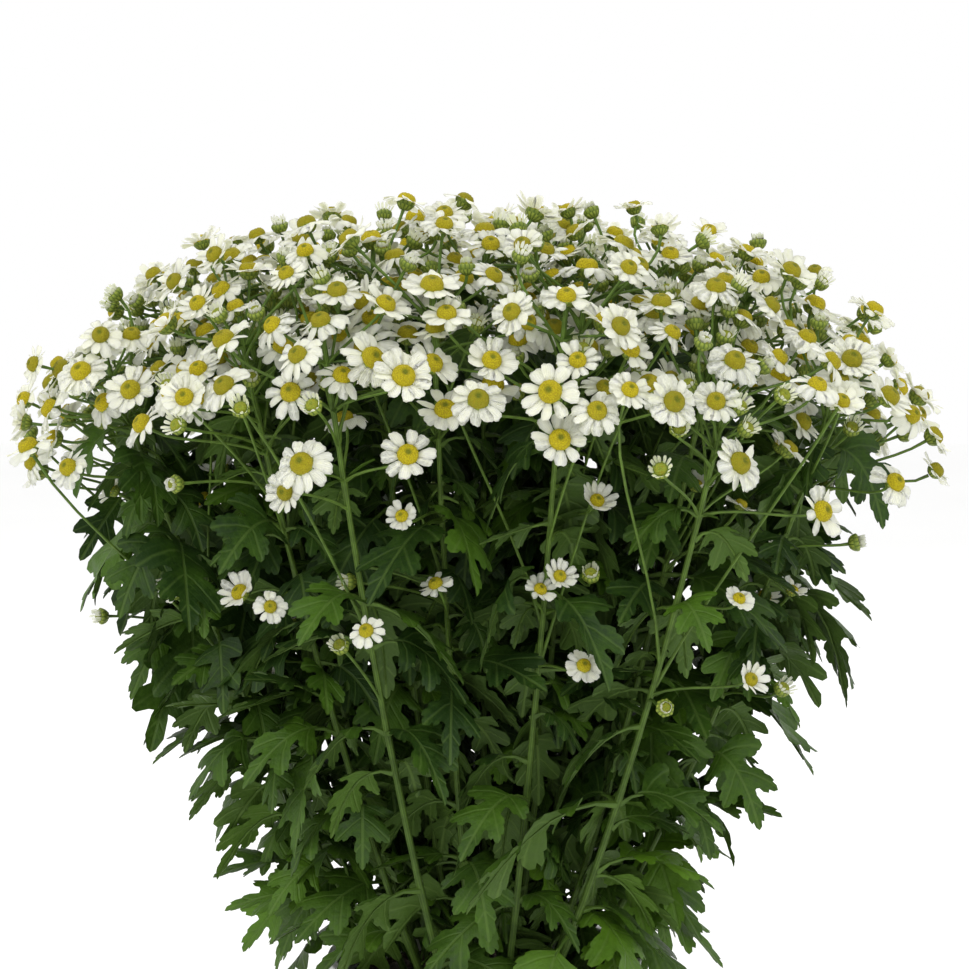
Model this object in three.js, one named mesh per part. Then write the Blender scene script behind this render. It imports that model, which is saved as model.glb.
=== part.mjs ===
import * as THREE from "three";

// Chamomile plant of the garden kind, in a plain pot.
// Millimetres, +Z up, the middle of the pot's underside at the origin, +Y away from the viewer.

// Pot
const potHeight = 150;
const rimRadius = 80;
const baseRadius = 57;
const potWall = 5;
const potFloor = 8;
const bandHeight = 24;
const bandStep = 3;
const edgeRounding = 1.5;
const potSides = 24;

// Soil, with a hole for each stem's foot
const soilTop = 134;
const footDepth = 24;
const fitGap = 0.35;

// Stems: feet in a round patch of soil, tips spread evenly over the crown
const stemCount = 32;
const footPatch = 53;
const footRadius = 2.3;
const tipRadius = 1.4;
const collar = 3;
const bendOut = 0.56;
const bendUp = 0.43;
const bendSway = 5;
const tipInset = 31;
const tipSway = 6;
const tipSink = [-3, 14];
const goldenAngle = Math.PI * (3 - Math.sqrt(5));
const middleSkip = 0.6;
const firstSeed = 7001;
const seedStep = 613;

// Crown: the domed surface that the flower heads lie under, which falls less at front and back
const crownTop = 519;
const crownDrop = 106;
const crownEase = 20;
const crownHalfWidth = 244;
const crownHalfDepth = 188;
const crownRoundness = 3.2;
const crownEdge = 0.945;
const nearMiddle = 0.001;

// Whorls: short lengths of stem from which up to three shoots leave
const whorlHeight = 5;
const whorlTurn = 0.7;
const whorlSway = 2.5;
const thirdTurn = (2 * Math.PI) / 3;
const flowerWhorls = [
  { below: 17, reach: [19, 34], sink: [-5, 18] },
  { below: 38, reach: [22, 50], sink: [0, 36] },
  { below: 66, reach: [26, 60], sink: [6, 70] },
];
const leafWhorls = [
  { share: 0.68, spread: 0.05 },
  { share: 0.42, spread: 0.08 },
  { share: 0.16, spread: 0.08 },
];

// Flower heads
const petalCount = 6;
const bloomRadius = [10.4, 13.6];
const petalNotch = 0.7;
const notchLift = 0.5;
const discRise = 3.4;
const neckDepth = 5;
const neckRadius = 1.5;
const budRadius = 4.4;
const budPoint = 3.5;
const budShare = 0.11;
const petalLift = [-0.34, 0.26];
const petalMiddle = 0.66;
const tipGuide = [0, 1, 0.3];
const shootPull = 0.75;
const headSway = [0.42, 0.42, 0.2];

// A flower's shoot: how far it may stray from its face, its least and greatest lean along the
// stem and away from it, as cosines, and its shortest length
const shootStray = 0.9;
const shootLean = [0.25, 0.95];
const shootAway = 0.2;
const shootToHead = 0.5;
const shortestShoot = 14;

// Leaves: half-widths and places of the lobes, as shares of the leaf's length
const leafLength = [62, 106];
const leafShrink = 0.4;
const leafRib = 1.6;
const leafStalkHalf = 0.02;
const largeLeafFrom = 78;
const largeLeaf = [
  { at: 0.3, half: leafStalkHalf, sweep: 0 },
  { at: 0.42, half: 0.23, sweep: 0.05 },
  { at: 0.54, half: 0.1, sweep: 0 },
  { at: 0.66, half: 0.29, sweep: 0.06 },
  { at: 0.77, half: 0.13, sweep: 0 },
  { at: 0.87, half: 0.18, sweep: 0.03 },
];
const smallLeaf = [
  { at: 0.3, half: leafStalkHalf, sweep: 0 },
  { at: 0.48, half: 0.26, sweep: 0.06 },
  { at: 0.66, half: 0.12, sweep: 0 },
  { at: 0.8, half: 0.22, sweep: 0.05 },
];

// A leaf's midrib leaves the stem on one slope, bends and hangs on another, in radians; the
// blade is rolled about it
const leafRise = [-0.15, 0.9];
const leafFall = [-1.45, -0.75];
const leafRoll = [-0.8, 0.8];
const leafOut = 0.36;
const leafDown = 0.68;
const leafStray = 0.8;
const leafLean = 0.93;
const leafAway = 0.3;
const leafMiddle = 0.6;
const leafUnderCrown = 12;

// Widest reach of the leaves from the middle, by height, across the plant
const leafBounds = [
  { height: 90, reach: 122 },
  { height: 150, reach: 128 },
  { height: 200, reach: 142 },
  { height: 255, reach: 174 },
  { height: 300, reach: 194 },
  { height: 350, reach: 220 },
  { height: 400, reach: 230 },
];

// Which leaves grow: whorl, face, and how far out in the plant a stem stands to bear that leaf
const leafPlan = [
  [0, 0, 0.3],
  [1, 0, 0],
  [2, 0, 0],
  [0, 1, 0.3],
  [1, 1, 0.4],
  [2, 1, 0.2],
  [2, 2, 0.6],
  [1, 2, 0.5],
  [0, 2, 0.8],
  [3, 2, 0.2],
  [3, 1, 0],
];

// Room that is kept clear round everything that has been placed
const cellSize = 12;
const clearGap = 0.5;
const rootZone = 13;
const ballPitch = 3.8;
const stemRoom = 0.7;
const stemRoomEnd = 0.97;
const shootRoom = 2.4;
const shootStart = 4;
const leafRoom = 2.9;
const leafEdgeRoom = [1.6, 1.4];
const discRoom = 4.6;
const budRoom = 0.6;
const petalRoom = [0.34, 0.3];
const potRoom = { above: 1, outside: 2, inside: 2, floor: 4 };
const tries = 30;

// How the diagonals between two loops of corners may run
const bridgeLeans = [0.45, 0.55];

const up = new THREE.Vector3(0, 0, 1);

function mix(low, high, share) {
  return low + (high - low) * share;
}

// A repeatable sequence of draws between two limits
function diceFrom(seed) {
  let state = seed;
  return function draw(low, high) {
    state = (state * 16807) % 2147483647;
    return mix(low, high, state / 2147483647);
  };
}

function crownShare(x, y) {
  return Math.hypot(x / crownHalfWidth, y / crownHalfDepth);
}

function crownHeight(x, y) {
  const deep = y / crownHalfDepth;
  const drop = crownDrop - crownEase * deep * deep;
  return crownTop - drop * Math.pow(crownShare(x, y), crownRoundness);
}

function crownFacing(x, y) {
  const steep = crownDrop * crownRoundness * Math.pow(crownShare(x, y) + nearMiddle, crownRoundness - 2);
  return new THREE.Vector3(
    (steep * x) / (crownHalfWidth * crownHalfWidth),
    (steep * y) / (crownHalfDepth * crownHalfDepth),
    1,
  ).normalize();
}

function leafBound(height) {
  let lower = leafBounds[0];
  for (const upper of leafBounds) {
    if (height < upper.height) {
      const share = (height - lower.height) / Math.max(upper.height - lower.height, 1);
      return mix(lower.reach, upper.reach, Math.max(share, 0));
    }
    lower = upper;
  }
  return lower.reach;
}

// Stem number k, from the middle of the pot outwards
function stemLine(k) {
  const draw = diceFrom(firstSeed + seedStep * k);
  const share = Math.sqrt((k + middleSkip) / stemCount);
  const bearing = k * goldenAngle;
  const foot = new THREE.Vector3(
    footPatch * share * Math.cos(bearing),
    footPatch * share * Math.sin(bearing),
    soilTop + collar,
  );
  const x = (crownHalfWidth - tipInset) * share * Math.cos(bearing) + draw(-tipSway, tipSway);
  const y = (crownHalfDepth - tipInset) * share * Math.sin(bearing) + draw(-tipSway, tipSway);
  const tip = new THREE.Vector3(x, y, crownHeight(x, y) - draw(tipSink[0], tipSink[1]));
  const bend = new THREE.Vector3(
    mix(foot.x, tip.x, bendOut) + draw(-bendSway, bendSway),
    mix(foot.y, tip.y, bendOut) + draw(-bendSway, bendSway),
    mix(foot.z, tip.z, bendUp),
  );
  return { k, draw, share, foot, bend, tip, turn: draw(0, thirdTurn), whorls: [] };
}

function pointOn(curve, share) {
  const rest = 1 - share;
  return curve.foot.clone().multiplyScalar(rest * rest)
    .addScaledVector(curve.bend, 2 * rest * share)
    .addScaledVector(curve.tip, share * share);
}

function headingOn(curve, share) {
  return curve.bend.clone().sub(curve.foot).multiplyScalar(1 - share)
    .addScaledVector(curve.tip, share)
    .addScaledVector(curve.bend, -share)
    .normalize();
}

function stemRadius(share) {
  return mix(footRadius, tipRadius, share);
}

// Two directions at right angles to a heading, the second as near as can be to a guide
function axesAbout(heading, guide) {
  const second = guide.clone().addScaledVector(heading, -guide.dot(heading)).normalize();
  return [second.clone().cross(heading), second];
}

function stemAxes(heading) {
  const first = new THREE.Vector3(1, 0, 0).addScaledVector(heading, -heading.x).normalize();
  return [first, heading.clone().cross(first)];
}

// The place and direction of one of a whorl's three faces
function whorlFace(stem, whorl, side) {
  const heading = headingOn(stem, whorl.share);
  const [first, second] = stemAxes(heading);
  const angle = whorl.turn + (side + 0.5) * thirdTurn;
  const outward = first.multiplyScalar(Math.cos(angle)).addScaledVector(second, Math.sin(angle));
  const root = pointOn(stem, whorl.share).addScaledVector(outward, stemRadius(whorl.share) / 2);
  return { heading, outward, root, bearing: Math.atan2(outward.y, outward.x) };
}

// Placed balls, kept by cell, stand for what has been placed
const cells = new Map();

function cellOf(value) {
  return Math.floor(value / cellSize);
}

function clearOfPot(place, radius) {
  const side = Math.hypot(place.x, place.y);
  const bottom = place.z - radius;
  if (bottom > potHeight + potRoom.above || side - radius > rimRadius + potRoom.outside) {
    return bottom > potRoom.floor;
  }
  return side + radius < rimRadius - potWall - potRoom.inside && bottom > soilTop + potRoom.above;
}

function clearOfOthers(ball, owner) {
  const { place, radius, near } = ball;
  for (let i = cellOf(place.x) - 1; i <= cellOf(place.x) + 1; i += 1) {
    for (let j = cellOf(place.y) - 1; j <= cellOf(place.y) + 1; j += 1) {
      for (let k = cellOf(place.z) - 1; k <= cellOf(place.z) + 1; k += 1) {
        for (const other of cells.get(`${i},${j},${k}`) ?? []) {
          const reach = radius + other.radius + clearGap;
          if (!(near && other.owner === owner) && place.distanceToSquared(other.place) < reach * reach) {
            return false;
          }
        }
      }
    }
  }
  return true;
}

function allClear(balls, owner) {
  return balls.every((ball) => clearOfPot(ball.place, ball.radius) && clearOfOthers(ball, owner));
}

function keepPlace(balls, owner) {
  for (const ball of balls) {
    const key = `${cellOf(ball.place.x)},${cellOf(ball.place.y)},${cellOf(ball.place.z)}`;
    const cell = cells.get(key) ?? [];
    cell.push({ ...ball, owner });
    cells.set(key, cell);
  }
}

// Balls along a straight run between two points
function runBalls(start, end, skip, radius, near) {
  const balls = [];
  const length = start.distanceTo(end);
  for (let along = skip; along < length; along += ballPitch) {
    balls.push({
      place: start.clone().lerp(end, along / length),
      radius,
      near: near && along < rootZone,
    });
  }
  return balls;
}

function stemBalls(stem) {
  const balls = [];
  let last = stem.foot;
  let share = 0;
  for (const whorl of [...stem.whorls, { share: stemRoomEnd }]) {
    const next = pointOn(stem, whorl.share);
    balls.push(...runBalls(last, next, 0, stemRadius(share) + stemRoom, false));
    last = next;
    share = whorl.share;
  }
  return balls;
}

function headBalls(head) {
  const radius = head.bud ? budRadius + budRoom : discRoom;
  const balls = [{ place: head.place.clone(), radius, near: false }];
  if (head.bud) {
    return balls;
  }
  const [first, second] = axesAbout(head.facing, head.guide);
  const ring = head.radius * petalMiddle;
  for (let petal = 0; petal < petalCount; petal += 1) {
    const angle = Math.PI / 2 + (petal * 2 * Math.PI) / petalCount;
    const place = head.place.clone()
      .addScaledVector(first, ring * Math.cos(angle))
      .addScaledVector(second, ring * Math.sin(angle))
      .addScaledVector(head.facing, head.lift * petalMiddle);
    balls.push({ place, radius: head.radius * petalRoom[0] + petalRoom[1], near: false });
  }
  return balls;
}

// A flower head at a place, facing between the crown's own direction and its shoot's
function headAt(place, shoot, guide, draw) {
  const sway = new THREE.Vector3(...headSway.map((most) => draw(-most, most)));
  const facing = crownFacing(place.x, place.y).addScaledVector(shoot, shootPull).add(sway).normalize();
  const bud = draw(0, 1) < budShare;
  const radius = draw(bloomRadius[0], bloomRadius[1]);
  const lift = draw(petalLift[0], petalLift[1]) * radius;
  const neck = place.clone().addScaledVector(facing, -(bud ? budRadius : neckDepth));
  return { place, facing, guide, bud, radius, lift, neck };
}

function placeTip(stem) {
  const along = headingOn(stem, 1);
  const head = headAt(stem.tip.clone(), along, new THREE.Vector3(...tipGuide), stem.draw);
  head.bud = false;
  head.neck = head.place.clone().addScaledVector(head.facing, -neckDepth);
  stem.head = head;
  keepPlace(headBalls(head), stem.k);
}

function placeFlower(stem, whorl, side) {
  const face = whorlFace(stem, whorl, side);
  for (let attempt = 0; attempt < tries; attempt += 1) {
    const bearing = face.bearing + stem.draw(-shootStray, shootStray);
    const reach = stem.draw(whorl.reach[0], whorl.reach[1]);
    const sink = stem.draw(whorl.sink[0], whorl.sink[1]);
    const x = stem.tip.x + reach * Math.cos(bearing);
    const y = stem.tip.y + reach * Math.sin(bearing);
    const place = new THREE.Vector3(x, y, crownHeight(x, y) - sink);
    const shoot = place.clone().sub(face.root).normalize();
    const head = headAt(place, shoot, face.heading, stem.draw);
    const stalk = runBalls(face.root, head.neck, shootStart, shootRoom, true);
    const balls = [...stalk, ...headBalls(head)];
    const fits = crownShare(x, y) < crownEdge
      && shoot.dot(face.heading) > shootLean[0]
      && shoot.dot(face.heading) < shootLean[1]
      && shoot.dot(face.outward) > shootAway
      && head.facing.dot(shoot) > shootToHead
      && head.neck.distanceTo(face.root) > shortestShoot;
    if (fits && allClear(balls, stem.k)) {
      keepPlace(balls, stem.k);
      return head;
    }
  }
  return null;
}

// A leaf's midrib leaves its stem, arches over and hangs
function leafCurve(root, bearing, length, rise, fall) {
  const flat = new THREE.Vector3(Math.cos(bearing), Math.sin(bearing), 0);
  const out = length * leafOut;
  const down = length * leafDown;
  const bend = root.clone()
    .addScaledVector(flat, out * Math.cos(rise))
    .addScaledVector(up, out * Math.sin(rise));
  const tip = bend.clone()
    .addScaledVector(flat, down * Math.cos(fall))
    .addScaledVector(up, down * Math.sin(fall));
  return { foot: root, bend, tip };
}

// Across the blade and out of its upper face, with the blade rolled about its midrib
function leafAxes(leaf, share) {
  const heading = headingOn(leaf.curve, share);
  const across = up.clone().cross(heading).normalize();
  const outward = heading.clone().cross(across);
  const side = across.clone().multiplyScalar(Math.cos(leaf.roll))
    .addScaledVector(outward, Math.sin(leaf.roll));
  return [side, heading.cross(side)];
}

function leafPattern(leaf) {
  return leaf.length > largeLeafFrom ? largeLeaf : smallLeaf;
}

// Half-width of a blade at a share of its length, between its lobes' tips and the gaps
function leafHalf(leaf, share) {
  let last = { at: 0, half: leafStalkHalf };
  for (const part of [...leafPattern(leaf), { at: 1, half: 0, sweep: 0 }]) {
    const at = part.at + part.sweep;
    if (share <= at) {
      return leaf.length * mix(last.half, part.half, (share - last.at) / (at - last.at));
    }
    last = { at, half: part.half };
  }
  return 0;
}

function leafBalls(leaf) {
  const bladeStart = leafPattern(leaf)[0].at;
  const bladeRoot = pointOn(leaf.curve, bladeStart);
  const balls = runBalls(leaf.curve.foot, bladeRoot, shootStart, shootRoom, true);
  const step = ballPitch / leaf.length;
  for (let share = bladeStart; share < 1; share += step) {
    const place = pointOn(leaf.curve, share);
    const side = leafAxes(leaf, share)[0];
    balls.push({ place, radius: leafRoom, near: false });
    for (let out = leafHalf(leaf, share) - leafEdgeRoom[1]; out > leafEdgeRoom[0]; out -= ballPitch) {
      balls.push({ place: place.clone().addScaledVector(side, out), radius: leafRoom, near: false });
      balls.push({ place: place.clone().addScaledVector(side, -out), radius: leafRoom, near: false });
    }
  }
  return balls;
}

function insideBounds(place) {
  const reach = Math.hypot(place.x, (place.y * crownHalfWidth) / crownHalfDepth);
  return reach < leafBound(place.z) && place.z < crownHeight(place.x, place.y) - leafUnderCrown;
}

function placeLeaf(stem, whorl, side) {
  const face = whorlFace(stem, whorl, side);
  for (let attempt = 0; attempt < tries; attempt += 1) {
    const bearing = face.bearing + stem.draw(-leafStray, leafStray);
    const length = stem.draw(leafLength[0], leafLength[1]) * (1 - (leafShrink * attempt) / tries);
    const rise = stem.draw(leafRise[0], leafRise[1]);
    const fall = stem.draw(leafFall[0], leafFall[1]);
    const curve = leafCurve(face.root, bearing, length, rise, fall);
    const roll = stem.draw(leafRoll[0], leafRoll[1]);
    const leaf = { curve, length, roll, leaf: true };
    const start = headingOn(curve, 0);
    const balls = leafBalls(leaf);
    const fits = start.dot(face.outward) > leafAway
      && start.dot(face.heading) < leafLean
      && insideBounds(pointOn(curve, leafMiddle))
      && insideBounds(curve.tip);
    if (fits && allClear(balls, stem.k)) {
      keepPlace(balls, stem.k);
      return leaf;
    }
  }
  return null;
}

// All the stems, with what grows from each face of each whorl
function growPlant() {
  const stems = [];
  for (let k = 0; k < stemCount; k += 1) {
    const stem = stemLine(k);
    const length = stem.foot.distanceTo(stem.tip);
    leafWhorls.toReversed().forEach((row) => {
      const share = row.share + stem.draw(-row.spread, row.spread);
      stem.whorls.push({ share, shoots: [null, null, null] });
    });
    flowerWhorls.toReversed().forEach((row) => {
      const share = 1 - (row.below + stem.draw(-whorlSway, whorlSway)) / length;
      stem.whorls.push({ ...row, share, shoots: [null, null, null] });
    });
    stem.whorls.forEach((whorl, order) => {
      whorl.turn = stem.turn + (order + 1) * whorlTurn;
    });
    stems.push(stem);
    keepPlace(stemBalls(stem), k);
  }
  stems.forEach(placeTip);
  for (const level of [5, 4, 3]) {
    for (let side = 0; side < 3; side += 1) {
      for (const stem of stems) {
        const whorl = stem.whorls[level];
        whorl.shoots[side] = placeFlower(stem, whorl, side);
      }
    }
  }
  for (const [level, side, from] of leafPlan) {
    for (const stem of stems) {
      const whorl = stem.whorls[level];
      if (stem.share > from && whorl.shoots[side] === null) {
        whorl.shoots[side] = placeLeaf(stem, whorl, side);
      }
    }
  }
  return stems;
}

// A closed skin is built up from loops of corners, each loop running anticlockwise as seen
// from ahead
class Skin {
  constructor() {
    this.corners = [];
    this.faces = [];
  }

  loop(points) {
    return points.map((point) => this.corners.push(point) - 1);
  }

  face(a, b, c) {
    this.faces.push(a, b, c);
  }

  middle(loop) {
    const sum = new THREE.Vector3();
    loop.forEach((corner) => sum.add(this.corners[corner]));
    return sum.divideScalar(loop.length);
  }

  // Triangles that bridge two loops evenly, from a given start in the second; the lean sets
  // which way their diagonals run, and the twist sums what the edges stray from the axis
  bridge(from, to, axis, start, lean) {
    const faces = [];
    let twist = 0;
    let i = 0;
    let j = 0;
    while (i < from.length || j < to.length) {
      const a = from[i % from.length];
      const b = to[(start + j) % to.length];
      const alongFrom = j === to.length || (i + lean) * to.length < (j + 0.5) * from.length;
      if (i < from.length && alongFrom) {
        i += 1;
        faces.push(a, from[i % from.length], b);
      } else {
        j += 1;
        faces.push(a, to[(start + j) % to.length], b);
      }
      const edge = this.corners[to[(start + j) % to.length]].clone();
      edge.sub(this.corners[from[i % from.length]]);
      twist += edge.projectOnPlane(axis).lengthSq();
    }
    return { faces, twist };
  }

  // The bridge with the least twist
  join(from, to) {
    const axis = this.middle(to).sub(this.middle(from)).normalize();
    let best = null;
    for (let start = 0; start < to.length; start += 1) {
      for (const lean of bridgeLeans) {
        const option = this.bridge(from, to, axis, start, lean);
        if (best === null || option.twist < best.twist) {
          best = option;
        }
      }
    }
    this.faces.push(...best.faces);
  }

  close(loop, point) {
    const peak = this.corners.push(point) - 1;
    loop.forEach((corner, i) => this.face(corner, loop[(i + 1) % loop.length], peak));
  }

  geometry() {
    const shape = new THREE.BufferGeometry();
    const flat = this.corners.flatMap((corner) => [corner.x, corner.y, corner.z]);
    shape.setAttribute("position", new THREE.Float32BufferAttribute(flat, 3));
    shape.setIndex(this.faces);
    return shape;
  }
}

function ringPoints(centre, axes, radius, count, phase) {
  const points = [];
  for (let i = 0; i < count; i += 1) {
    const angle = phase + (i * 2 * Math.PI) / count;
    const out = typeof radius === "number" ? radius : radius[i % 2];
    points.push(centre.clone()
      .addScaledVector(axes[0], out * Math.cos(angle))
      .addScaledVector(axes[1], out * Math.sin(angle)));
  }
  return points;
}

function addHead(skin, from, head) {
  const axes = axesAbout(head.facing, head.guide);
  const neck = skin.loop(ringPoints(head.neck, axes, neckRadius, 3, Math.PI / 2));
  skin.join(from, neck);
  if (head.bud) {
    const belly = skin.loop(ringPoints(head.place, axes, budRadius, 5, Math.PI / 2));
    skin.join(neck, belly);
    skin.close(belly, head.place.clone().addScaledVector(head.facing, budPoint));
    return;
  }
  const radii = [head.radius, head.radius * petalNotch];
  const edge = ringPoints(head.place, axes, radii, petalCount * 2, Math.PI / 2);
  edge.forEach((point, i) => point.addScaledVector(head.facing, head.lift * (i % 2 === 0 ? 1 : notchLift)));
  const petals = skin.loop(edge);
  skin.join(neck, petals);
  skin.close(petals, head.place.clone().addScaledVector(head.facing, discRise));
}

function addLeaf(skin, from, leaf) {
  let last = from;
  leafPattern(leaf).forEach((part) => {
    const [side, above] = leafAxes(leaf, part.at);
    const middle = pointOn(leaf.curve, part.at);
    const edge = pointOn(leaf.curve, part.at + part.sweep);
    const half = part.half * leaf.length;
    const ring = skin.loop([
      edge.clone().addScaledVector(side, half),
      middle.addScaledVector(above, leafRib),
      edge.clone().addScaledVector(side, -half),
    ]);
    skin.join(last, ring);
    last = ring;
  });
  skin.close(last, leaf.curve.tip);
}

function stemRing(stem, centre, heading, radius, turn) {
  return ringPoints(centre, stemAxes(heading), radius, 3, turn);
}

function footPoints(stem, height, grow) {
  const centre = new THREE.Vector3(stem.foot.x, stem.foot.y, height);
  return stemRing(stem, centre, up, footRadius + grow, stem.turn);
}

function stemGeometry(stem) {
  const skin = new Skin();
  const foot = skin.loop(footPoints(stem, soilTop - footDepth, 0));
  skin.face(foot[0], foot[2], foot[1]);
  let last = skin.loop(footPoints(stem, soilTop + collar, 0));
  skin.join(foot, last);
  for (const whorl of stem.whorls) {
    const heading = headingOn(stem, whorl.share);
    const middle = pointOn(stem, whorl.share);
    const radius = stemRadius(whorl.share);
    const [lower, upper] = [-whorlHeight / 2, whorlHeight / 2].map((rise) => {
      const centre = middle.clone().addScaledVector(heading, rise);
      return skin.loop(stemRing(stem, centre, heading, radius, whorl.turn));
    });
    skin.join(last, lower);
    whorl.shoots.forEach((shoot, side) => {
      const next = (side + 1) % 3;
      const opening = [lower[side], lower[next], upper[next], upper[side]];
      if (shoot === null) {
        skin.face(opening[0], opening[1], opening[2]);
        skin.face(opening[0], opening[2], opening[3]);
      } else if (shoot.leaf) {
        addLeaf(skin, opening, shoot);
      } else {
        addHead(skin, opening, shoot);
      }
    });
    last = upper;
  }
  addHead(skin, last, stem.head);
  return skin.geometry();
}

// A ring of corners for each point of a profile, closed on the axis at both ends
function turned(profile) {
  const skin = new Skin();
  const loops = profile.slice(1, -1).map(([radius, height]) => {
    const centre = new THREE.Vector3(0, 0, height);
    return skin.loop(ringPoints(centre, stemAxes(up), radius, potSides, 0));
  });
  const start = skin.corners.push(new THREE.Vector3(0, 0, profile[0][1])) - 1;
  loops[0].forEach((corner, i) => skin.face(loops[0][(i + 1) % potSides], corner, start));
  for (let i = 1; i < loops.length; i += 1) {
    skin.join(loops[i - 1], loops[i]);
  }
  skin.close(loops.at(-1), new THREE.Vector3(0, 0, profile.at(-1)[1]));
  return skin.geometry();
}

function wallRadius(height) {
  const inside = mix(baseRadius, rimRadius, height / potHeight) - potWall;
  return inside - bandStep * (1 - height / potHeight);
}

function potGeometry() {
  const bandBottom = potHeight - bandHeight;
  const bandRadius = mix(baseRadius, rimRadius, bandBottom / potHeight);
  return turned([
    [0, 0],
    [baseRadius - edgeRounding, 0],
    [baseRadius, edgeRounding],
    [bandRadius - bandStep, bandBottom],
    [bandRadius, bandBottom + edgeRounding],
    [rimRadius, potHeight - edgeRounding],
    [rimRadius - edgeRounding, potHeight],
    [wallRadius(potHeight), potHeight],
    [wallRadius(potFloor), potFloor],
    [0, potFloor],
  ]);
}

// The soil fills the pot to a little under its rim; each hole takes one stem's foot
function soilGeometry(stems) {
  const skin = new Skin();
  const bottom = potFloor + fitGap;
  const [low, high] = [bottom, soilTop].map((height) => {
    const centre = new THREE.Vector3(0, 0, height);
    return ringPoints(centre, stemAxes(up), wallRadius(height) - fitGap, potSides, 0);
  });
  const lowLoop = skin.loop(low);
  const base = skin.corners.push(new THREE.Vector3(0, 0, bottom)) - 1;
  lowLoop.forEach((corner, i) => skin.face(lowLoop[(i + 1) % potSides], corner, base));
  const highLoop = skin.loop(high);
  skin.join(lowLoop, highLoop);
  const mouths = stems.map((stem) => footPoints(stem, soilTop, 2 * fitGap));
  const mouthLoops = mouths.map((mouth) => skin.loop(mouth));
  const flat = (points) => points.map((point) => new THREE.Vector2(point.x, point.y));
  const surface = THREE.ShapeUtils.triangulateShape(flat(high), mouths.map(flat));
  const names = [...highLoop, ...mouthLoops.flat()];
  surface.forEach(([a, b, c]) => skin.face(names[a], names[b], names[c]));
  mouthLoops.forEach((mouth, k) => {
    const depth = skin.loop(footPoints(stems[k], soilTop - footDepth - fitGap, 2 * fitGap));
    mouth.forEach((corner, i) => {
      const next = (i + 1) % 3;
      skin.face(corner, mouth[next], depth[i]);
      skin.face(mouth[next], depth[next], depth[i]);
    });
    skin.face(depth[0], depth[1], depth[2]);
  });
  return skin.geometry();
}

function addNode(group, name, geometry, material) {
  const mesh = new THREE.Mesh(geometry, material);
  mesh.name = name;
  group.add(mesh);
}

const group = new THREE.Group();
group.name = "chamomile_plant";
const stems = growPlant();
const glaze = { color: 0xd9d9d6, roughness: 0.35, metalness: 0 };
const compost = { color: 0x2c211a, roughness: 0.95, metalness: 0 };
const leafGreen = { color: 0x5b7f35, roughness: 0.6, metalness: 0 };
addNode(group, "pot", potGeometry(), new THREE.MeshStandardMaterial(glaze));
addNode(group, "soil", soilGeometry(stems), new THREE.MeshStandardMaterial(compost));
for (const stem of stems) {
  const name = `leafy_stem_${String(stem.k + 1).padStart(2, "0")}`;
  addNode(group, name, stemGeometry(stem), new THREE.MeshStandardMaterial(leafGreen));
}

export default group;
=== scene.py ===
import math
from itertools import product
import bpy
import numpy as np
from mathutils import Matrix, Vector
from mathutils.geometry import delaunay_2d_cdt


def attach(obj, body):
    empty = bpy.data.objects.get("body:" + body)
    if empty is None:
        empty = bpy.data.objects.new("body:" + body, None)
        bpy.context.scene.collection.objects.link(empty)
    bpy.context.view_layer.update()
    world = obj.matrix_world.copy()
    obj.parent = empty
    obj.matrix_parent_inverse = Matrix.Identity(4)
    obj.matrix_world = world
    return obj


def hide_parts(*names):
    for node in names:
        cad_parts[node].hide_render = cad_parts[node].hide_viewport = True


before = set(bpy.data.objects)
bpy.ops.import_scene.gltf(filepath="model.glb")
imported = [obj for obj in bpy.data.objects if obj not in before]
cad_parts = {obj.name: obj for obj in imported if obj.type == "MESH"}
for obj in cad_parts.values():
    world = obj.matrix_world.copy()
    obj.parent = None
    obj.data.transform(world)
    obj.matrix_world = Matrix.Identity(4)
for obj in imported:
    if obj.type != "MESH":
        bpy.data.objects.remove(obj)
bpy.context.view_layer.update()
print("solids loaded:", len(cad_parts))

# camera
view = {"aim": (0.0, 0.0, 0.389), "distance": 1.2, "elevation": 5.0, "lens": 89.2, "sensor": 36.0}
tilt = math.radians(view["elevation"])
camData = bpy.data.cameras.new("view")
camData.lens = view["lens"]
camData.sensor_width = view["sensor"]
cam = bpy.data.objects.new("view", camData)
bpy.context.scene.collection.objects.link(cam)
cam.location = Vector(view["aim"]) + Vector((0, -math.cos(tilt), math.sin(tilt))) * view["distance"]
cam.rotation_euler = (math.pi / 2 - tilt, 0, 0)
bpy.context.scene.camera = cam

# how the plant grows, in millimetres: the same rules and draws as its solids
pot = {"height": 150, "rim": 80, "base": 57, "wall": 5, "floor": 8, "band": 24, "step": 3}
soil = {"top": 134}
stem = {"count": 32, "patch": 53, "footRadius": 2.3, "tipRadius": 1.4, "collar": 3,
        "bendOut": 0.56, "bendUp": 0.43, "inset": 31, "stray": 6, "sway": 5, "sink": (-3, 14),
        "whorlTurn": 0.7, "whorlStray": 2.5, "first": 0.6}
crown = {"top": 519, "drop": 106, "ease": 20, "halfWidth": 244, "halfDepth": 188, "round": 3.2,
         "edge": 0.945}
flowerWhorls = [
    {"below": 17, "reach": (19, 34), "sink": (-5, 18)},
    {"below": 38, "reach": (22, 50), "sink": (0, 36)},
    {"below": 66, "reach": (26, 60), "sink": (6, 70)},
]
leafWhorls = [(0.68, 0.05), (0.42, 0.08), (0.16, 0.08)]
flower = {"radius": (10.4, 13.6), "neck": 5, "bud": 4.4, "budShare": 0.11, "petals": 6,
          "sway": 1.0, "toward": 0.5, "snug": 1.0, "steep": 0.95, "aside": 0.9, "tilt": (0.42, 0.2),
          "along": 0.75, "lift": (-0.34, 0.26), "forward": 0.25, "outward": 0.2, "shortest": 14,
          "tipGuide": (0, 1, 0.3)}
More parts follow.
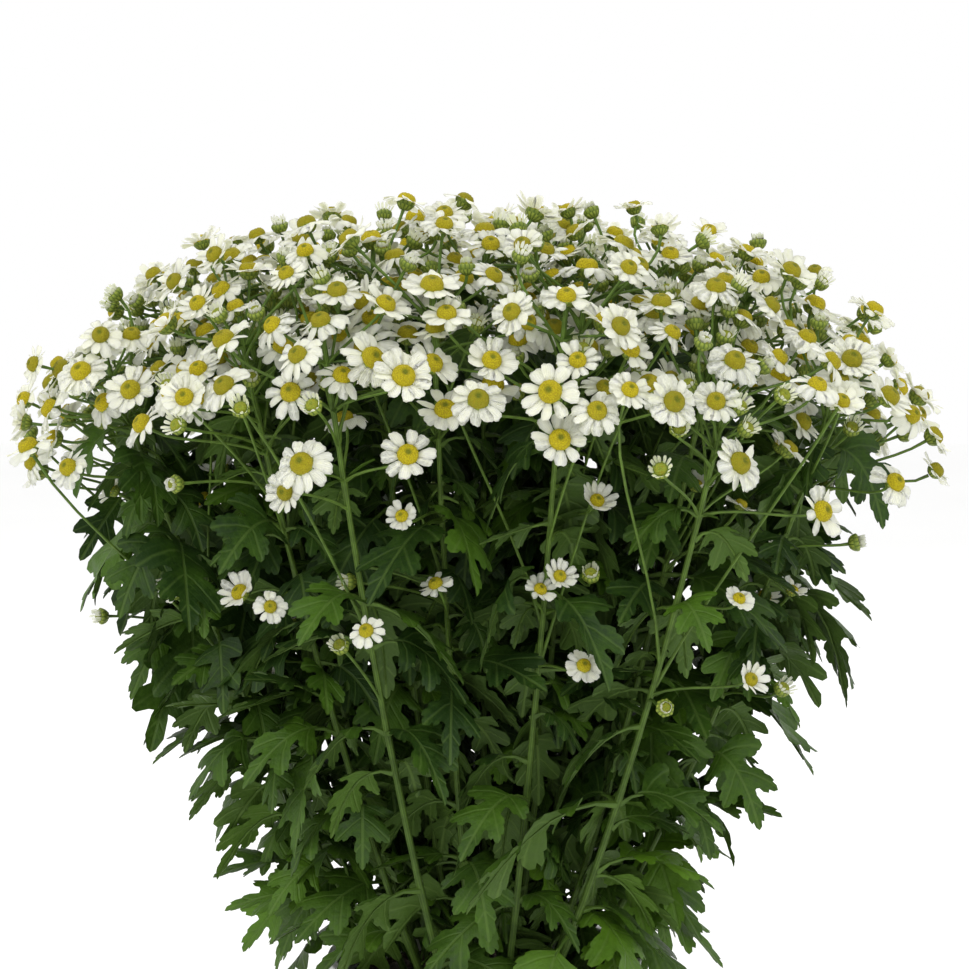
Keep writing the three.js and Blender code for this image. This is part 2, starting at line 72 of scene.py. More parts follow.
leaf = {"length": (62, 106), "shrink": 0.4, "largeFrom": 78, "stray": 0.8, "lean": 0.93,
        "rise": (-0.15, 0.9), "fall": (-1.45, -0.75), "roll": (-0.8, 0.8), "out": 0.36, "down": 0.68,
        "room": 2.9, "tries": 30, "shallow": 1.0, "outward": 0.3, "margin": 1.4, "least": 1.6,
        "underCrown": 12, "footHalf": 0.02, "middle": 0.6}
# place along the leaf, half-width and forward sweep of each lobe and gap
largeLeaf = [(0.3, 0.02, 0), (0.42, 0.23, 0.05), (0.54, 0.1, 0), (0.66, 0.29, 0.06),
             (0.77, 0.13, 0), (0.87, 0.18, 0.03)]
smallLeaf = [(0.3, 0.02, 0), (0.48, 0.26, 0.06), (0.66, 0.12, 0), (0.8, 0.22, 0.05)]
leafReach = [(90, 122), (150, 128), (200, 142), (255, 174), (300, 194), (350, 220), (400, 230)]
room = {"cell": 12, "gap": 0.5, "rootZone": 13, "pitch": 3.8, "stem": 0.7, "shoot": 2.4,
        "tries": 30, "above": 1, "beside": 2, "floor": 4, "start": 4, "stemEnd": 0.97}
# the balls that stand for a head: sizes in millimetres, then shares of its radius
headBall = {"spare": 0.6, "disc": 4.6, "edge": 0.3, "ring": 0.66, "petal": 0.34}
# the first seed of each row of draws, and the step to the next stem's or shape's
seeds = {"grow": (7001, 613), "shape": (401, 37), "dress": (90001, 77), "soil": (5501, 0)}
thirdTurn = 2 * math.pi / 3
goldenAngle = math.pi * (3 - math.sqrt(5))
up = (0.0, 0.0, 1.0)


def mix(low, high, share):
    return low + (high - low) * share


def plus(a, b, by=1.0):
    return (a[0] + b[0] * by, a[1] + b[1] * by, a[2] + b[2] * by)


def minus(a, b):
    return (a[0] - b[0], a[1] - b[1], a[2] - b[2])


def times(a, by):
    return (a[0] * by, a[1] * by, a[2] * by)


def dot(a, b):
    return a[0] * b[0] + a[1] * b[1] + a[2] * b[2]


def cross(a, b):
    return (a[1] * b[2] - a[2] * b[1], a[2] * b[0] - a[0] * b[2], a[0] * b[1] - a[1] * b[0])


def unit(a):
    return times(a, 1 / math.sqrt(dot(a, a)))


def apart(a, b):
    return math.sqrt(dot(minus(a, b), minus(a, b)))


def diceFrom(row, number=0):
    first, step = seeds[row]
    state = [first + step * number]

    def draw(low, high):
        state[0] = (state[0] * 16807) % 2147483647
        return mix(low, high, state[0] / 2147483647)
    return draw


def crownShare(x, y):
    return math.hypot(x / crown["halfWidth"], y / crown["halfDepth"])


def crownHeight(x, y):
    drop = crown["drop"] - crown["ease"] * (y / crown["halfDepth"]) ** 2
    return crown["top"] - drop * crownShare(x, y) ** crown["round"]


def crownFacing(x, y):
    steep = crown["drop"] * crown["round"] * (crownShare(x, y) + 0.001) ** (crown["round"] - 2)
    return unit((steep * x / crown["halfWidth"] ** 2, steep * y / crown["halfDepth"] ** 2, 1))


def reachAt(height):
    lower = leafReach[0]
    for upper in leafReach:
        if height < upper[0]:
            share = (height - lower[0]) / max(upper[0] - lower[0], 1)
            return mix(lower[1], upper[1], max(share, 0))
        lower = upper
    return lower[1]


def pointOn(curve, share):
    rest = 1 - share
    point = times(curve["foot"], rest * rest)
    return plus(plus(point, curve["bend"], 2 * rest * share), curve["tip"], share * share)


def headingOn(curve, share):
    first = times(minus(curve["bend"], curve["foot"]), 1 - share)
    return unit(plus(plus(first, curve["tip"], share), curve["bend"], -share))


def stemLine(k):
    draw = diceFrom("grow", k)
    stray, sway = stem["stray"], stem["sway"]
    share = math.sqrt((k + stem["first"]) / stem["count"])
    bearing = k * goldenAngle
    cosine, sine = math.cos(bearing), math.sin(bearing)
    foot = (stem["patch"] * share * cosine, stem["patch"] * share * sine, soil["top"] + stem["collar"])
    x = (crown["halfWidth"] - stem["inset"]) * share * cosine + draw(-stray, stray)
    y = (crown["halfDepth"] - stem["inset"]) * share * sine + draw(-stray, stray)
    tip = (x, y, crownHeight(x, y) - draw(*stem["sink"]))
    bend = (mix(foot[0], x, stem["bendOut"]) + draw(-sway, sway),
            mix(foot[1], y, stem["bendOut"]) + draw(-sway, sway),
            mix(foot[2], tip[2], stem["bendUp"]))
    return {"k": k, "draw": draw, "share": share, "foot": foot, "bend": bend, "tip": tip,
            "turn": draw(0, thirdTurn), "whorls": []}


def stemRadius(share):
    return mix(stem["footRadius"], stem["tipRadius"], share)


def axesAbout(heading, guide):
    second = unit(plus(guide, heading, -dot(guide, heading)))
    return cross(second, heading), second


def stemAxes(heading):
    first = unit(plus((1, 0, 0), heading, -heading[0]))
    return first, cross(heading, first)


def faceOf(line, share, angle):
    heading = headingOn(line, share)
    first, second = stemAxes(heading)
    outward = plus(times(first, math.cos(angle)), second, math.sin(angle))
    root = plus(pointOn(line, share), outward, stemRadius(share) / 2)
    return {"heading": heading, "outward": outward, "root": root,
            "bearing": math.atan2(outward[1], outward[0])}


def whorlFace(line, whorl, side):
    return faceOf(line, whorl["share"], whorl["turn"] + (side + 0.5) * thirdTurn)


# balls kept by cell stand for everything that has been placed
cells = {}


def cellOf(place):
    return tuple(math.floor(value / room["cell"]) for value in place)


def clearOfPot(place, radius):
    side = math.hypot(place[0], place[1])
    foot = place[2] - radius
    if foot > pot["height"] + room["above"] or side - radius > pot["rim"] + room["beside"]:
        return foot > room["floor"]
    inside = pot["rim"] - pot["wall"] - room["beside"]
    return side + radius < inside and foot > soil["top"] + room["above"]


def clearOfOthers(place, radius, near, owner):
    for cell in product(*((at - 1, at, at + 1) for at in cellOf(place))):
        for other, size, holder in cells.get(cell, ()):
            reach = radius + size + room["gap"]
            between = minus(place, other)
            if not (near and holder == owner) and dot(between, between) < reach * reach:
                return False
    return True


def keepPlace(balls, owner):
    for place, radius, near in balls:
        cells.setdefault(cellOf(place), []).append((place, radius, owner))


def takePlace(balls, owner):
    clear = all(clearOfPot(place, radius) and clearOfOthers(place, radius, near, owner)
                for place, radius, near in balls)
    if clear:
        keepPlace(balls, owner)
    return clear


def runBalls(start, end, skip, radius, near):
    balls, along, length = [], skip, apart(start, end)
    while along < length:
        place = plus(start, minus(end, start), along / length)
        balls.append((place, radius, near and along < room["rootZone"]))
        along += room["pitch"]
    return balls


def stemBalls(line):
    balls, last, share = [], line["foot"], 0
    for nextShare in [whorl["share"] for whorl in line["whorls"]] + [room["stemEnd"]]:
        point = pointOn(line, nextShare)
        balls += runBalls(last, point, 0, stemRadius(share) + room["stem"], False)
        last, share = point, nextShare
    return balls


def headBalls(head, snug=1.0):
    if head["bud"]:
        return [(head["place"], (flower["bud"] + headBall["spare"]) * snug, False)]
    balls = [(head["place"], headBall["disc"] * snug, False)]
    first, second = axesAbout(head["facing"], head["guide"])
    ring = head["radius"] * headBall["ring"]
    size = (head["radius"] * headBall["petal"] + headBall["edge"]) * snug
    for side in range(flower["petals"]):
        angle = math.pi / 2 + side * 2 * math.pi / flower["petals"]
        place = plus(head["place"], first, ring * math.cos(angle))
        place = plus(place, second, ring * math.sin(angle))
        balls.append((plus(place, head["facing"], head["lift"] * headBall["ring"]), size, False))
    return balls


def headAt(place, shoot, guide, draw, habit):
    side, rise = habit["tilt"]
    sway = (draw(-side, side), draw(-side, side), draw(-rise, rise))
    crownward = plus(crownFacing(place[0], place[1]), shoot, habit["along"])
    facing = unit(plus(crownward, sway, habit["sway"]))
    bud = draw(0, 1) < habit["budShare"]
    radius = draw(*habit["radius"])
    neck = plus(place, facing, -(flower["bud"] if bud else flower["neck"]))
    return {"place": place, "facing": facing, "guide": guide, "bud": bud, "radius": radius,
            "lift": draw(*habit["lift"]) * radius, "neck": neck}


def placeTip(line):
    head = headAt(line["tip"], headingOn(line, 1), flower["tipGuide"], line["draw"], flower)
    head["bud"] = False
    head["neck"] = plus(head["place"], head["facing"], -flower["neck"])
    line["head"] = head
    keepPlace(headBalls(head), line["k"])


def placeFlower(line, habit, face):
    draw = line["draw"]
    for _ in range(room["tries"]):
        bearing = face["bearing"] + draw(-habit["aside"], habit["aside"])
        reach = draw(*habit["reach"])
        sink = draw(*habit["sink"])
        x = line["tip"][0] + reach * math.cos(bearing)
        y = line["tip"][1] + reach * math.sin(bearing)
        place = (x, y, crownHeight(x, y) - sink)
        shoot = unit(minus(place, face["root"]))
        head = headAt(place, shoot, face["heading"], draw, habit)
        fits = (crownShare(x, y) < crown["edge"]
                and habit["forward"] < dot(shoot, face["heading"]) < habit["steep"]
                and dot(shoot, face["outward"]) > habit["outward"]
                and dot(head["facing"], shoot) > habit["toward"]
                and apart(head["neck"], face["root"]) > habit["shortest"])
        if fits:
            width = room["shoot"] * habit["snug"]
            balls = runBalls(face["root"], head["neck"], room["start"], width, True)
            if takePlace(balls + headBalls(head, habit["snug"]), line["k"]):
                return {"kind": "flower", "head": head, "face": face}
    return None


def leafCurve(root, bearing, length, rise, fall):
    flat = (math.cos(bearing), math.sin(bearing), 0)
    out, down = length * leaf["out"], length * leaf["down"]
    bend = plus(plus(root, flat, out * math.cos(rise)), up, out * math.sin(rise))
    tip = plus(plus(bend, flat, down * math.cos(fall)), up, down * math.sin(fall))
    return {"foot": root, "bend": bend, "tip": tip}


def leafSide(curve, roll, share):
    heading = headingOn(curve, share)
    across = unit(cross(up, heading))
    outward = cross(heading, across)
    return plus(times(across, math.cos(roll)), outward, math.sin(roll))


def leafPattern(length):
    return largeLeaf if length > leaf["largeFrom"] else smallLeaf


def leafHalf(length, share):
    lastAt, lastHalf = 0, leaf["footHalf"]
    for at, half, sweep in leafPattern(length) + [(1, 0, 0)]:
        if share <= at + sweep:
            return length * mix(lastHalf, half, (share - lastAt) / (at + sweep - lastAt))
        lastAt, lastHalf = at + sweep, half
    return 0


def leafBalls(curve, length, roll, size):
    share = leafPattern(length)[0][0]
    width = min(room["shoot"], size)
    balls = runBalls(curve["foot"], pointOn(curve, share), room["start"], width, True)
    while share < 1:
        place = pointOn(curve, share)
        side = leafSide(curve, roll, share)
        balls.append((place, size, False))
        out = leafHalf(length, share) - leaf["margin"]
        while out > leaf["least"]:
            balls += [(plus(place, side, out), size, False), (plus(place, side, -out), size, False)]
            out -= room["pitch"]
        share += room["pitch"] / length
    return balls


def insideReach(place, shallow):
    side = math.hypot(place[0], place[1] * shallow * crown["halfWidth"] / crown["halfDepth"])
    return side < reachAt(place[2]) and place[2] < crownHeight(place[0], place[1]) - leaf["underCrown"]


def placeLeaf(line, face, habit):
    draw = line["draw"]
    for attempt in range(habit["tries"]):
        bearing = face["bearing"] + draw(-habit["stray"], habit["stray"])
        length = draw(*habit["length"]) * (1 - leaf["shrink"] * attempt / habit["tries"])
        rise = draw(*habit["rise"])
        fall = draw(*habit["fall"])
        curve = leafCurve(face["root"], bearing, length, rise, fall)
        roll = draw(*habit["roll"])
        start = headingOn(curve, 0)
        fits = (dot(start, face["outward"]) > leaf["outward"]
                and dot(start, face["heading"]) < habit["lean"]
                and insideReach(pointOn(curve, leaf["middle"]), habit["shallow"])
                and insideReach(curve["tip"], habit["shallow"]))
        if fits and takePlace(leafBalls(curve, length, roll, habit["room"]), line["k"]):
            return {"kind": "leaf", "curve": curve, "length": length, "roll": roll}
    return None


# whorl, face, and how far out a stem stands before it bears that leaf
leafSpots = [(0, 0, 0.3), (1, 0, 0), (2, 0, 0), (0, 1, 0.3), (1, 1, 0.4), (2, 1, 0.2),
             (2, 2, 0.6), (1, 2, 0.5), (0, 2, 0.8), (3, 2, 0.2), (3, 1, 0)]


def growPlant():
    lines = []
    for k in range(stem["count"]):
        line = stemLine(k)
        length = apart(line["foot"], line["tip"])
        for share, spread in reversed(leafWhorls):
            share += line["draw"](-spread, spread)
            line["whorls"].append({"share": share, "shoots": [None] * 3})
        for row in reversed(flowerWhorls):
            stray = line["draw"](-stem["whorlStray"], stem["whorlStray"])
            share = 1 - (row["below"] + stray) / length
            line["whorls"].append({**row, "share": share, "shoots": [None] * 3})
        for order, whorl in enumerate(line["whorls"]):
            whorl["turn"] = line["turn"] + (order + 1) * stem["whorlTurn"]
        lines.append(line)
        keepPlace(stemBalls(line), k)
    for line in lines:
        placeTip(line)
    for level in (5, 4, 3):
        for side in range(3):
            for line in lines:
                whorl = line["whorls"][level]
                face = whorlFace(line, whorl, side)
                whorl["shoots"][side] = placeFlower(line, {**flower, **whorl}, face)
    for level, side, least in leafSpots:
        for line in lines:
            whorl = line["whorls"][level]
            if line["share"] > least and whorl["shoots"][side] is None:
                whorl["shoots"][side] = placeLeaf(line, whorlFace(line, whorl, side), leaf)
    return lines


plant = growPlant()
shoots = [shoot for line in plant for whorl in line["whorls"] for shoot in whorl["shoots"] if shoot]
print("plant grown:", len(plant), "stems,", len(shoots), "shoots")

for line in plant:
    line["fillers"], line["core"], line["sprigs"] = [], [], []

# younger flower heads between the first ones, closer together, a few that rise above them, and a few
# on long stalks that leave the stem far down
sprig = {**flower, "perStem": 14, "below": (12, 62), "reach": (7, 54), "sink": (-4, 46), "snug": 0.42,
         "sway": 1.6, "toward": 0.2, "radius": (9.6, 13.2), "budShare": 0.17}
riser = {**flower, "perStem": 2, "below": (14, 40), "reach": (5, 40), "sink": (-12, -3), "snug": 0.55,
         "sway": 2.2, "toward": 0.1, "radius": (9.2, 12.2), "budShare": 0.3}
longSprig = {**sprig, "perStem": 3, "below": (80, 190), "reach": (20, 62), "sink": (-6, 22),
             "steep": 0.988}
# small heads that open low down, on the outer stems
lowSprig = {"from": 0.5, "share": (0.48, 0.8), "length": (24, 56), "rise": (0.05, 0.9), "snug": 0.6,
            "radius": (7.4, 10.4), "lift": (-0.15, 0.6), "perStem": 3, "aside": 0.9, "upward": (-0.3, 0.9),
            "sway": 0.4, "budShare": 0.25, "start": 6, "stalk": 1.0, "past": 6}


def growSprigs(habit):
    for step in range(habit["perStem"]):
        for line in plant:
            share = 1 - line["draw"](*habit["below"]) / apart(line["foot"], line["tip"])
            face = faceOf(line, share, line["turn"] + step * goldenAngle)
            grown = placeFlower(line, habit, face)
            if grown:
                line["sprigs"].append(grown)


def placeLowSprig(line):
    draw, aside, sway = line["draw"], lowSprig["aside"], lowSprig["sway"]
    outward = math.atan2(line["tip"][1], line["tip"][0])
    for _ in range(room["tries"]):
        share = draw(*lowSprig["share"])
        bearing = outward + draw(-aside, aside)
        rise = draw(*lowSprig["rise"])
        shoot = (math.cos(bearing) * math.cos(rise), math.sin(bearing) * math.cos(rise), math.sin(rise))
        root = pointOn(line, share)
        place = plus(root, shoot, draw(*lowSprig["length"]))
        upright = plus(shoot, up, draw(*lowSprig["upward"]))
        facing = unit(plus(upright, (draw(-sway, sway), draw(-sway, sway), 0)))
        radius = draw(*lowSprig["radius"])
        head = {"place": place, "facing": facing, "guide": headingOn(line, share),
                "bud": draw(0, 1) < lowSprig["budShare"], "radius": radius,
                "lift": draw(*lowSprig["lift"]) * radius, "neck": plus(place, facing, -flower["bud"])}
        balls = runBalls(root, head["neck"], lowSprig["start"], lowSprig["stalk"], True)
        balls += headBalls(head, lowSprig["snug"])
        side = math.hypot(place[0], place[1] * crown["halfWidth"] / crown["halfDepth"])
        if side < reachAt(place[2]) + lowSprig["past"] and takePlace(balls, line["k"]):
            face = {"root": root, "heading": headingOn(line, share)}
            line["sprigs"].append({"kind": "flower", "head": head, "face": face})
            break


def countOf(kind):
    return sum(len(line[kind]) for line in plant)


growSprigs(riser)
print("heads that rise above the rest:", countOf("sprigs"))
growSprigs(longSprig)
print("with those on long stalks:", countOf("sprigs"))
growSprigs(sprig)
for _ in range(lowSprig["perStem"]):
    for line in plant:
        if line["share"] >= lowSprig["from"]:
            placeLowSprig(line)
print("younger heads in all:", countOf("sprigs"))

# more leaves, in the room that the first ones leave: some that stretch out to the sides, then more
# all over, then plain ones that close the gaps further in; low and high are the lengths at the
# stem's foot and at its tip
wing = {"perStem": 7, "from": 0.06, "to": 0.66, "low": (78, 106), "high": (62, 84), "room": 1.3,
        "stray": 0.9, "tries": 16, "lean": 0.95, "rise": (0.0, 0.8), "fall": (-0.8, 0.1),
        "roll": (-0.5, 0.5), "shallow": 1.2}
filler = {"perStem": 22, "from": 0.05, "to": 0.9, "low": (68, 104), "high": (42, 74), "room": 1.0,
          "stray": 0.9, "tries": 16, "lean": 0.97, "rise": (-0.2, 0.9), "fall": (-1.4, -0.3),
          "roll": (-0.8, 0.8), "shallow": 1.3}
core = {"perStem": 46, "from": 0.03, "to": 0.93, "low": (58, 92), "high": (46, 74), "room": -0.4,
        "stray": 3.0, "tries": 12, "lean": 0.995, "rise": (-0.6, 0.8), "fall": (-1.5, -0.8),
        "roll": (-0.9, 0.9), "shallow": 1.7}


def growFillers(kind, habit):
    for step in range(habit["perStem"]):
        for line in plant:
            place = (step + line["draw"](0, 1)) / habit["perStem"]
            share = mix(habit["from"], habit["to"], place)
            face = faceOf(line, share, line["turn"] + step * goldenAngle)
            length = [mix(low, high, share) for low, high in zip(habit["low"], habit["high"])]
            grown = placeLeaf(line, face, {**habit, "length": length})
            if grown:
                line[kind].append(grown)


growFillers("fillers", wing)
print("leaves that stretch out:", countOf("fillers"))
growFillers("fillers", filler)
growFillers("core", core)
print("more leaves:", countOf("fillers"), "toothed and", countOf("core"), "plain")


# mesh making: each piece is gathered as arrays in millimetres, then made in one go
def newHeap():
    return {"points": [], "faces": [], "uvs": [], "tints": [], "count": 0}


def gather(heap, points, faces, uvs=(0, 0), tint=(0, 0, 0, 1)):
    heap["points"].append(points)
    heap["faces"] += [face + heap["count"] for face in faces]
    heap["uvs"].append(np.broadcast_to(uvs, (len(points), 2)))
    heap["tints"].append(np.broadcast_to(tint, (len(points), 4)))
    heap["count"] += len(points)


def makePiece(name, heap, material, sharpFrom=70):
    mesh = bpy.data.meshes.new(name)
    points = np.concatenate(heap["points"]) / 1000
    corners = np.concatenate([face.ravel() for face in heap["faces"]])
    sizes = np.concatenate([np.full(len(face), face.shape[1]) for face in heap["faces"]])
    mesh.vertices.add(len(points))
    mesh.vertices.foreach_set("co", points.astype(np.float32).ravel())
    mesh.loops.add(len(corners))
    mesh.loops.foreach_set("vertex_index", corners.astype(np.int32))
    mesh.polygons.add(len(sizes))
    mesh.polygons.foreach_set("loop_start", (np.cumsum(sizes) - sizes).astype(np.int32))
    mesh.update(calc_edges=True)
    uvs = np.concatenate(heap["uvs"])[corners]
    mesh.uv_layers.new(name="across").data.foreach_set("uv", uvs.astype(np.float32).ravel())
    tints = np.concatenate(heap["tints"]).astype(np.float32)
    mesh.color_attributes.new("tint", "FLOAT_COLOR", "POINT").data.foreach_set("color", tints.ravel())
    mesh.polygons.foreach_set("use_smooth", np.ones(len(sizes), dtype=bool))
    mesh.set_sharp_from_angle(angle=math.radians(sharpFrom))
    mesh.materials.append(material)
    piece = bpy.data.objects.new(name, mesh)
    bpy.context.scene.collection.objects.link(piece)
    return piece


# triangles made so far, by slot
triangles = {}


def dress(piece, node, slotName):
    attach(piece, "root")
    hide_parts(node)
    made = len(piece.data.loops) - 2 * len(piece.data.polygons)
    triangles[slotName] = triangles.get(slotName, 0) + made


def unitRows(rows):
    return rows / np.linalg.norm(rows, axis=-1, keepdims=True)


def circle(sides):
    angles = np.arange(sides) * 2 * math.pi / sides
    return np.cos(angles), np.sin(angles)


# rings of points joined by quads, with a flat face at either end
def tubeFaces(rings, sides):
    index = np.arange(rings * sides).reshape(rings, sides)
    turned = np.roll(index, -1, axis=1)
    quads = np.stack([index[:-1], turned[:-1], turned[1:], index[1:]], axis=-1).reshape(-1, 4)
    return [quads, index[0, ::-1][None], index[-1][None]]


# a sheet's two sides: every point but those at its edge has a second one below it
def closedGrid(rows, columns):
    index = np.arange(rows * columns).reshape(rows, columns)
    quads = np.stack([index[:-1, :-1], index[:-1, 1:], index[1:, 1:], index[1:, :-1]], -1).reshape(-1, 4)
    inside = np.zeros((rows, columns), bool)
    inside[1:-1, 1:-1] = True
    inside = inside.ravel()
    below = np.arange(rows * columns)
    below[inside] = rows * columns + np.arange(inside.sum())
    return [quads, below[quads][:, ::-1]], inside


def twoSided(flat, half, inside):
    return np.concatenate([flat + half * inside[:, None], flat[inside] - half])


def gatherTube(heap, centres, radii, sides, tint):
    headings = unitRows(np.gradient(centres, axis=0))
    first = unitRows(np.cross(headings[0], (0.31, 0.52, 0.79)))
    firsts = []
    for heading in headings:
        first = unitRows(first - heading * (first @ heading))
        firsts.append(first)
    firsts = np.array(firsts)
    seconds = np.cross(headings, firsts)
    cosines, sines = circle(sides)
    rings = firsts[:, None] * cosines[:, None] + seconds[:, None] * sines[:, None]
    points = (centres[:, None] + rings * radii[:, None, None]).reshape(-1, 3)
    along = np.concatenate([[0], np.cumsum(np.linalg.norm(np.diff(centres, axis=0), axis=1))])
    uvs = np.stack([np.tile(np.arange(sides) % 2, len(centres)), np.repeat(along / 10, sides)], -1)
    gather(heap, points, tubeFaces(len(centres), sides), uvs, tint)


def bezier(a, b, c, d, steps):
    t = np.linspace(0, 1, steps)[:, None]
    a, b, c, d = (np.array(point) for point in (a, b, c, d))
    return a * (1 - t) ** 3 + b * 3 * t * (1 - t) ** 2 + c * 3 * t * t * (1 - t) + d * t ** 3


# leaf blades: lobes as root on the midrib, tip along and out, half-width, then the bay after it
bladeLobes = {
    "large": [(0.29, 0.43, 0.225, 0.066, 0.462, 0.08), (0.48, 0.70, 0.28, 0.08, 0.69, 0.098),
              (0.68, 0.89, 0.18, 0.068, 0.862, 0.046), (0.80, 1.0, 0, 0.06, 0, 0)],
    "small": [(0.33, 0.53, 0.25, 0.09, 0.54, 0.09), (0.58, 0.81, 0.205, 0.08, 0.785, 0.052),
              (0.72, 1.0, 0, 0.07, 0, 0)],
}
bladeLobes["plain"] = bladeLobes["small"]
# one lobe's edge, along it and across it: out to its tip, and back
toothedEdge = ([(0.30, -0.75), (0.46, -1.0), (0.60, -1.05), (0.66, -0.82), (0.80, -0.86),
                (0.91, -0.66), (0.88, -0.44), (0.99, -0.33)],
               [(0.99, 0.33), (0.88, 0.44), (0.91, 0.68), (0.80, 0.88), (0.69, 0.80), (0.62, 1.0)])
plainEdge = ([(0.35, -0.85), (0.76, -1.0), (0.98, -0.5)], [(0.98, 0.5), (0.70, 0.98)])
# points down a lobe's middle, where it bends, as shares of the lobe
toothedCrease, plainCrease = (0.42, 0.78), (0.6,)
# sizes are shares of the leaf's length, but its thickness is in millimetres
blade = {"from": 0.24, "to": 1.015, "wing": 0.011, "thick": 0.4, "midribStep": 0.06, "plainStep": 0.15,
         "midribEnd": 0.98, "jitter": 0.012, "widen": (0.9, 1.06), "shapes": 4, "fold": (0.0, 0.5),
         "curl": (0.3, 2.2), "ripple": (0.007, 0.02), "ripples": 0.7, "twist": (-0.5, 0.5),
         "spread": (0.96, 1.04), "edge": 0.5, "rippleAt": 0.1, "veinMeasure": 50}


def sideOutline(lobes, teeth, draw):
    crease = toothedCrease if teeth is toothedEdge else plainCrease
    edge, axes = [(blade["from"], blade["wing"]), (blade["from"] + 0.04, blade["wing"] * 1.3)], []
    for root, tipAlong, tipOut, half, bayAlong, bayOut in lobes:
        last = tipOut == 0
        jitter = 0 if last else blade["jitter"]
        along, out = tipAlong - root + draw(-jitter, jitter), tipOut + draw(-jitter, jitter)
        half *= draw(*blade["widen"])
        length = math.hypot(along, out)
        lower = (-out / length * half, along / length * half)
        corners = teeth[0] if last else teeth[0] + [(1.05, 0)] + teeth[1]
        edge += [(root + along * p - lower[0] * q, out * p - lower[1] * q) for p, q in corners]
        if not last:
            edge.append((bayAlong, bayOut))
            axes += [(root + along * p, out * p) for p in crease]
    return edge, axes


def bladeShape(kind, number):
    draw = diceFrom("shape", number)
    lobes = bladeLobes[kind]
    teeth = plainEdge if kind == "plain" else toothedEdge
    left, leftAxes = sideOutline(lobes, teeth, draw)
    right, rightAxes = sideOutline(lobes, teeth, draw)
    outline = [(blade["from"], 0)] + [(x, -y) for x, y in right] + [(blade["to"], 0)] + left[::-1]
    pace = blade["plainStep"] if kind == "plain" else blade["midribStep"]
    midrib = np.arange(blade["from"] + pace, blade["midribEnd"], pace)
    inner = [(x, 0) for x in midrib] + leftAxes + [(x, -y) for x, y in rightAxes]
    corners = [Vector(point) for point in outline + inner]
    tip = len(right) + 1
    spine = [0] + [len(outline) + i for i in range(len(midrib))] + [tip]
    edges = list(zip(spine, spine[1:]))
    points, _, faces, *_ = delaunay_2d_cdt(corners, edges, [list(range(len(outline)))], 1, 1e-5)
    points, faces = np.array([tuple(point) for point in points]), np.array([tuple(f) for f in faces])
    # each lobe's side vein has a whole number for its rank, and so have those beyond the lobes
    veins = [(root, (tipAlong - root) / max(tipOut, 0.1)) for root, tipAlong, tipOut, *_ in lobes[:-1]]
    step = veins[1][0] - veins[0][0]
    veins = [(veins[0][0] - step, veins[0][1])] + veins
    veins += [(veins[-1][0] + step * i, veins[-1][1]) for i in (1, 2, 3)]
    rank = np.array([np.interp(x, [root + slope * abs(y) for root, slope in veins],
                               range(len(veins))) for x, y in points])
    sides = np.sort(np.stack([faces, np.roll(faces, -1, axis=1)], -1).reshape(-1, 2), axis=1)
    pairs, uses = np.unique(sides, axis=0, return_counts=True)
    margin = np.zeros(len(points), bool)
    margin[pairs[uses == 1]] = True
    return {"u": points[:, 0], "v": points[:, 1], "rank": rank, "faces": faces, "margin": margin}


shapes = {kind: [bladeShape(kind, number) for number in range(blade["shapes"])]
          for kind in bladeLobes}
print("leaf shapes:", {kind: len(made[0]["faces"]) * 2 for kind, made in shapes.items()})


def alongCurve(curve, shares):
    foot, bend, tip = (np.array(curve[name]) for name in ("foot", "bend", "tip"))
    t = shares[:, None]
    centres = foot * (1 - t) ** 2 + bend * 2 * t * (1 - t) + tip * t * t
    return centres, unitRows((bend - foot) * (1 - t) + (tip - bend) * t)


def leafFrames(headings, rolls):
    across = unitRows(np.cross((0, 0, 1.0), headings))
    outward = np.cross(headings, across)
    sides = across * np.cos(rolls)[:, None] + outward * np.sin(rolls)[:, None]
    return sides, np.cross(headings, sides)


# how light a leaf is, from its tip's place: its own tone differs at random, painted light makes it
# lighter low down and at the outside, and painted shade makes it darkest under the crown
shade = {"least": 0.03, "chance": 0.6, "rare": 3, "outside": 0.32, "outFrom": 0.5, "low": 0.33,
         "lowFrom": 130, "lowOver": 220, "vary": (-0.04, 0.06), "dark": 0.16, "darkAt": 305,
         "darkOver": 60, "stems": (0.1, 0.5)}


def toneAt(place, draw):
    out = math.hypot(place[0], place[1]) / reachAt(place[2])
    low = 1 - min(1, max(0, (place[2] - shade["lowFrom"]) / shade["lowOver"]))
    tone = shade["least"] + shade["chance"] * draw(0, 1) ** shade["rare"]
    # painted light: lighter towards the outside and low down
    tone += shade["outside"] * max(0, out - shade["outFrom"])
    tone += shade["low"] * low * out + draw(*shade["vary"])
    # painted shade: darker under the crown
    tone -= shade["dark"] * math.exp(-((place[2] - shade["darkAt"]) / shade["darkOver"]) ** 2)
    return min(1, max(0, tone))


# the rib under the blade, which is the leaf's stalk at its foot: sizes in millimetres, and where
# along the leaf each radius holds
rib = {"radii": (1.9, 1.15, 0.85, 0.3), "at": (0, 0.06, 0.3, 0.94), "drop": 0.35, "dropOver": 0.3,
       "sides": 4, "stalky": 0.75, "under": 0.3, "end": 0.94, "steps": 7, "plainEnd": 0.4, "plainSteps": 4,
       "slim": 0.7, "widenOver": 250}


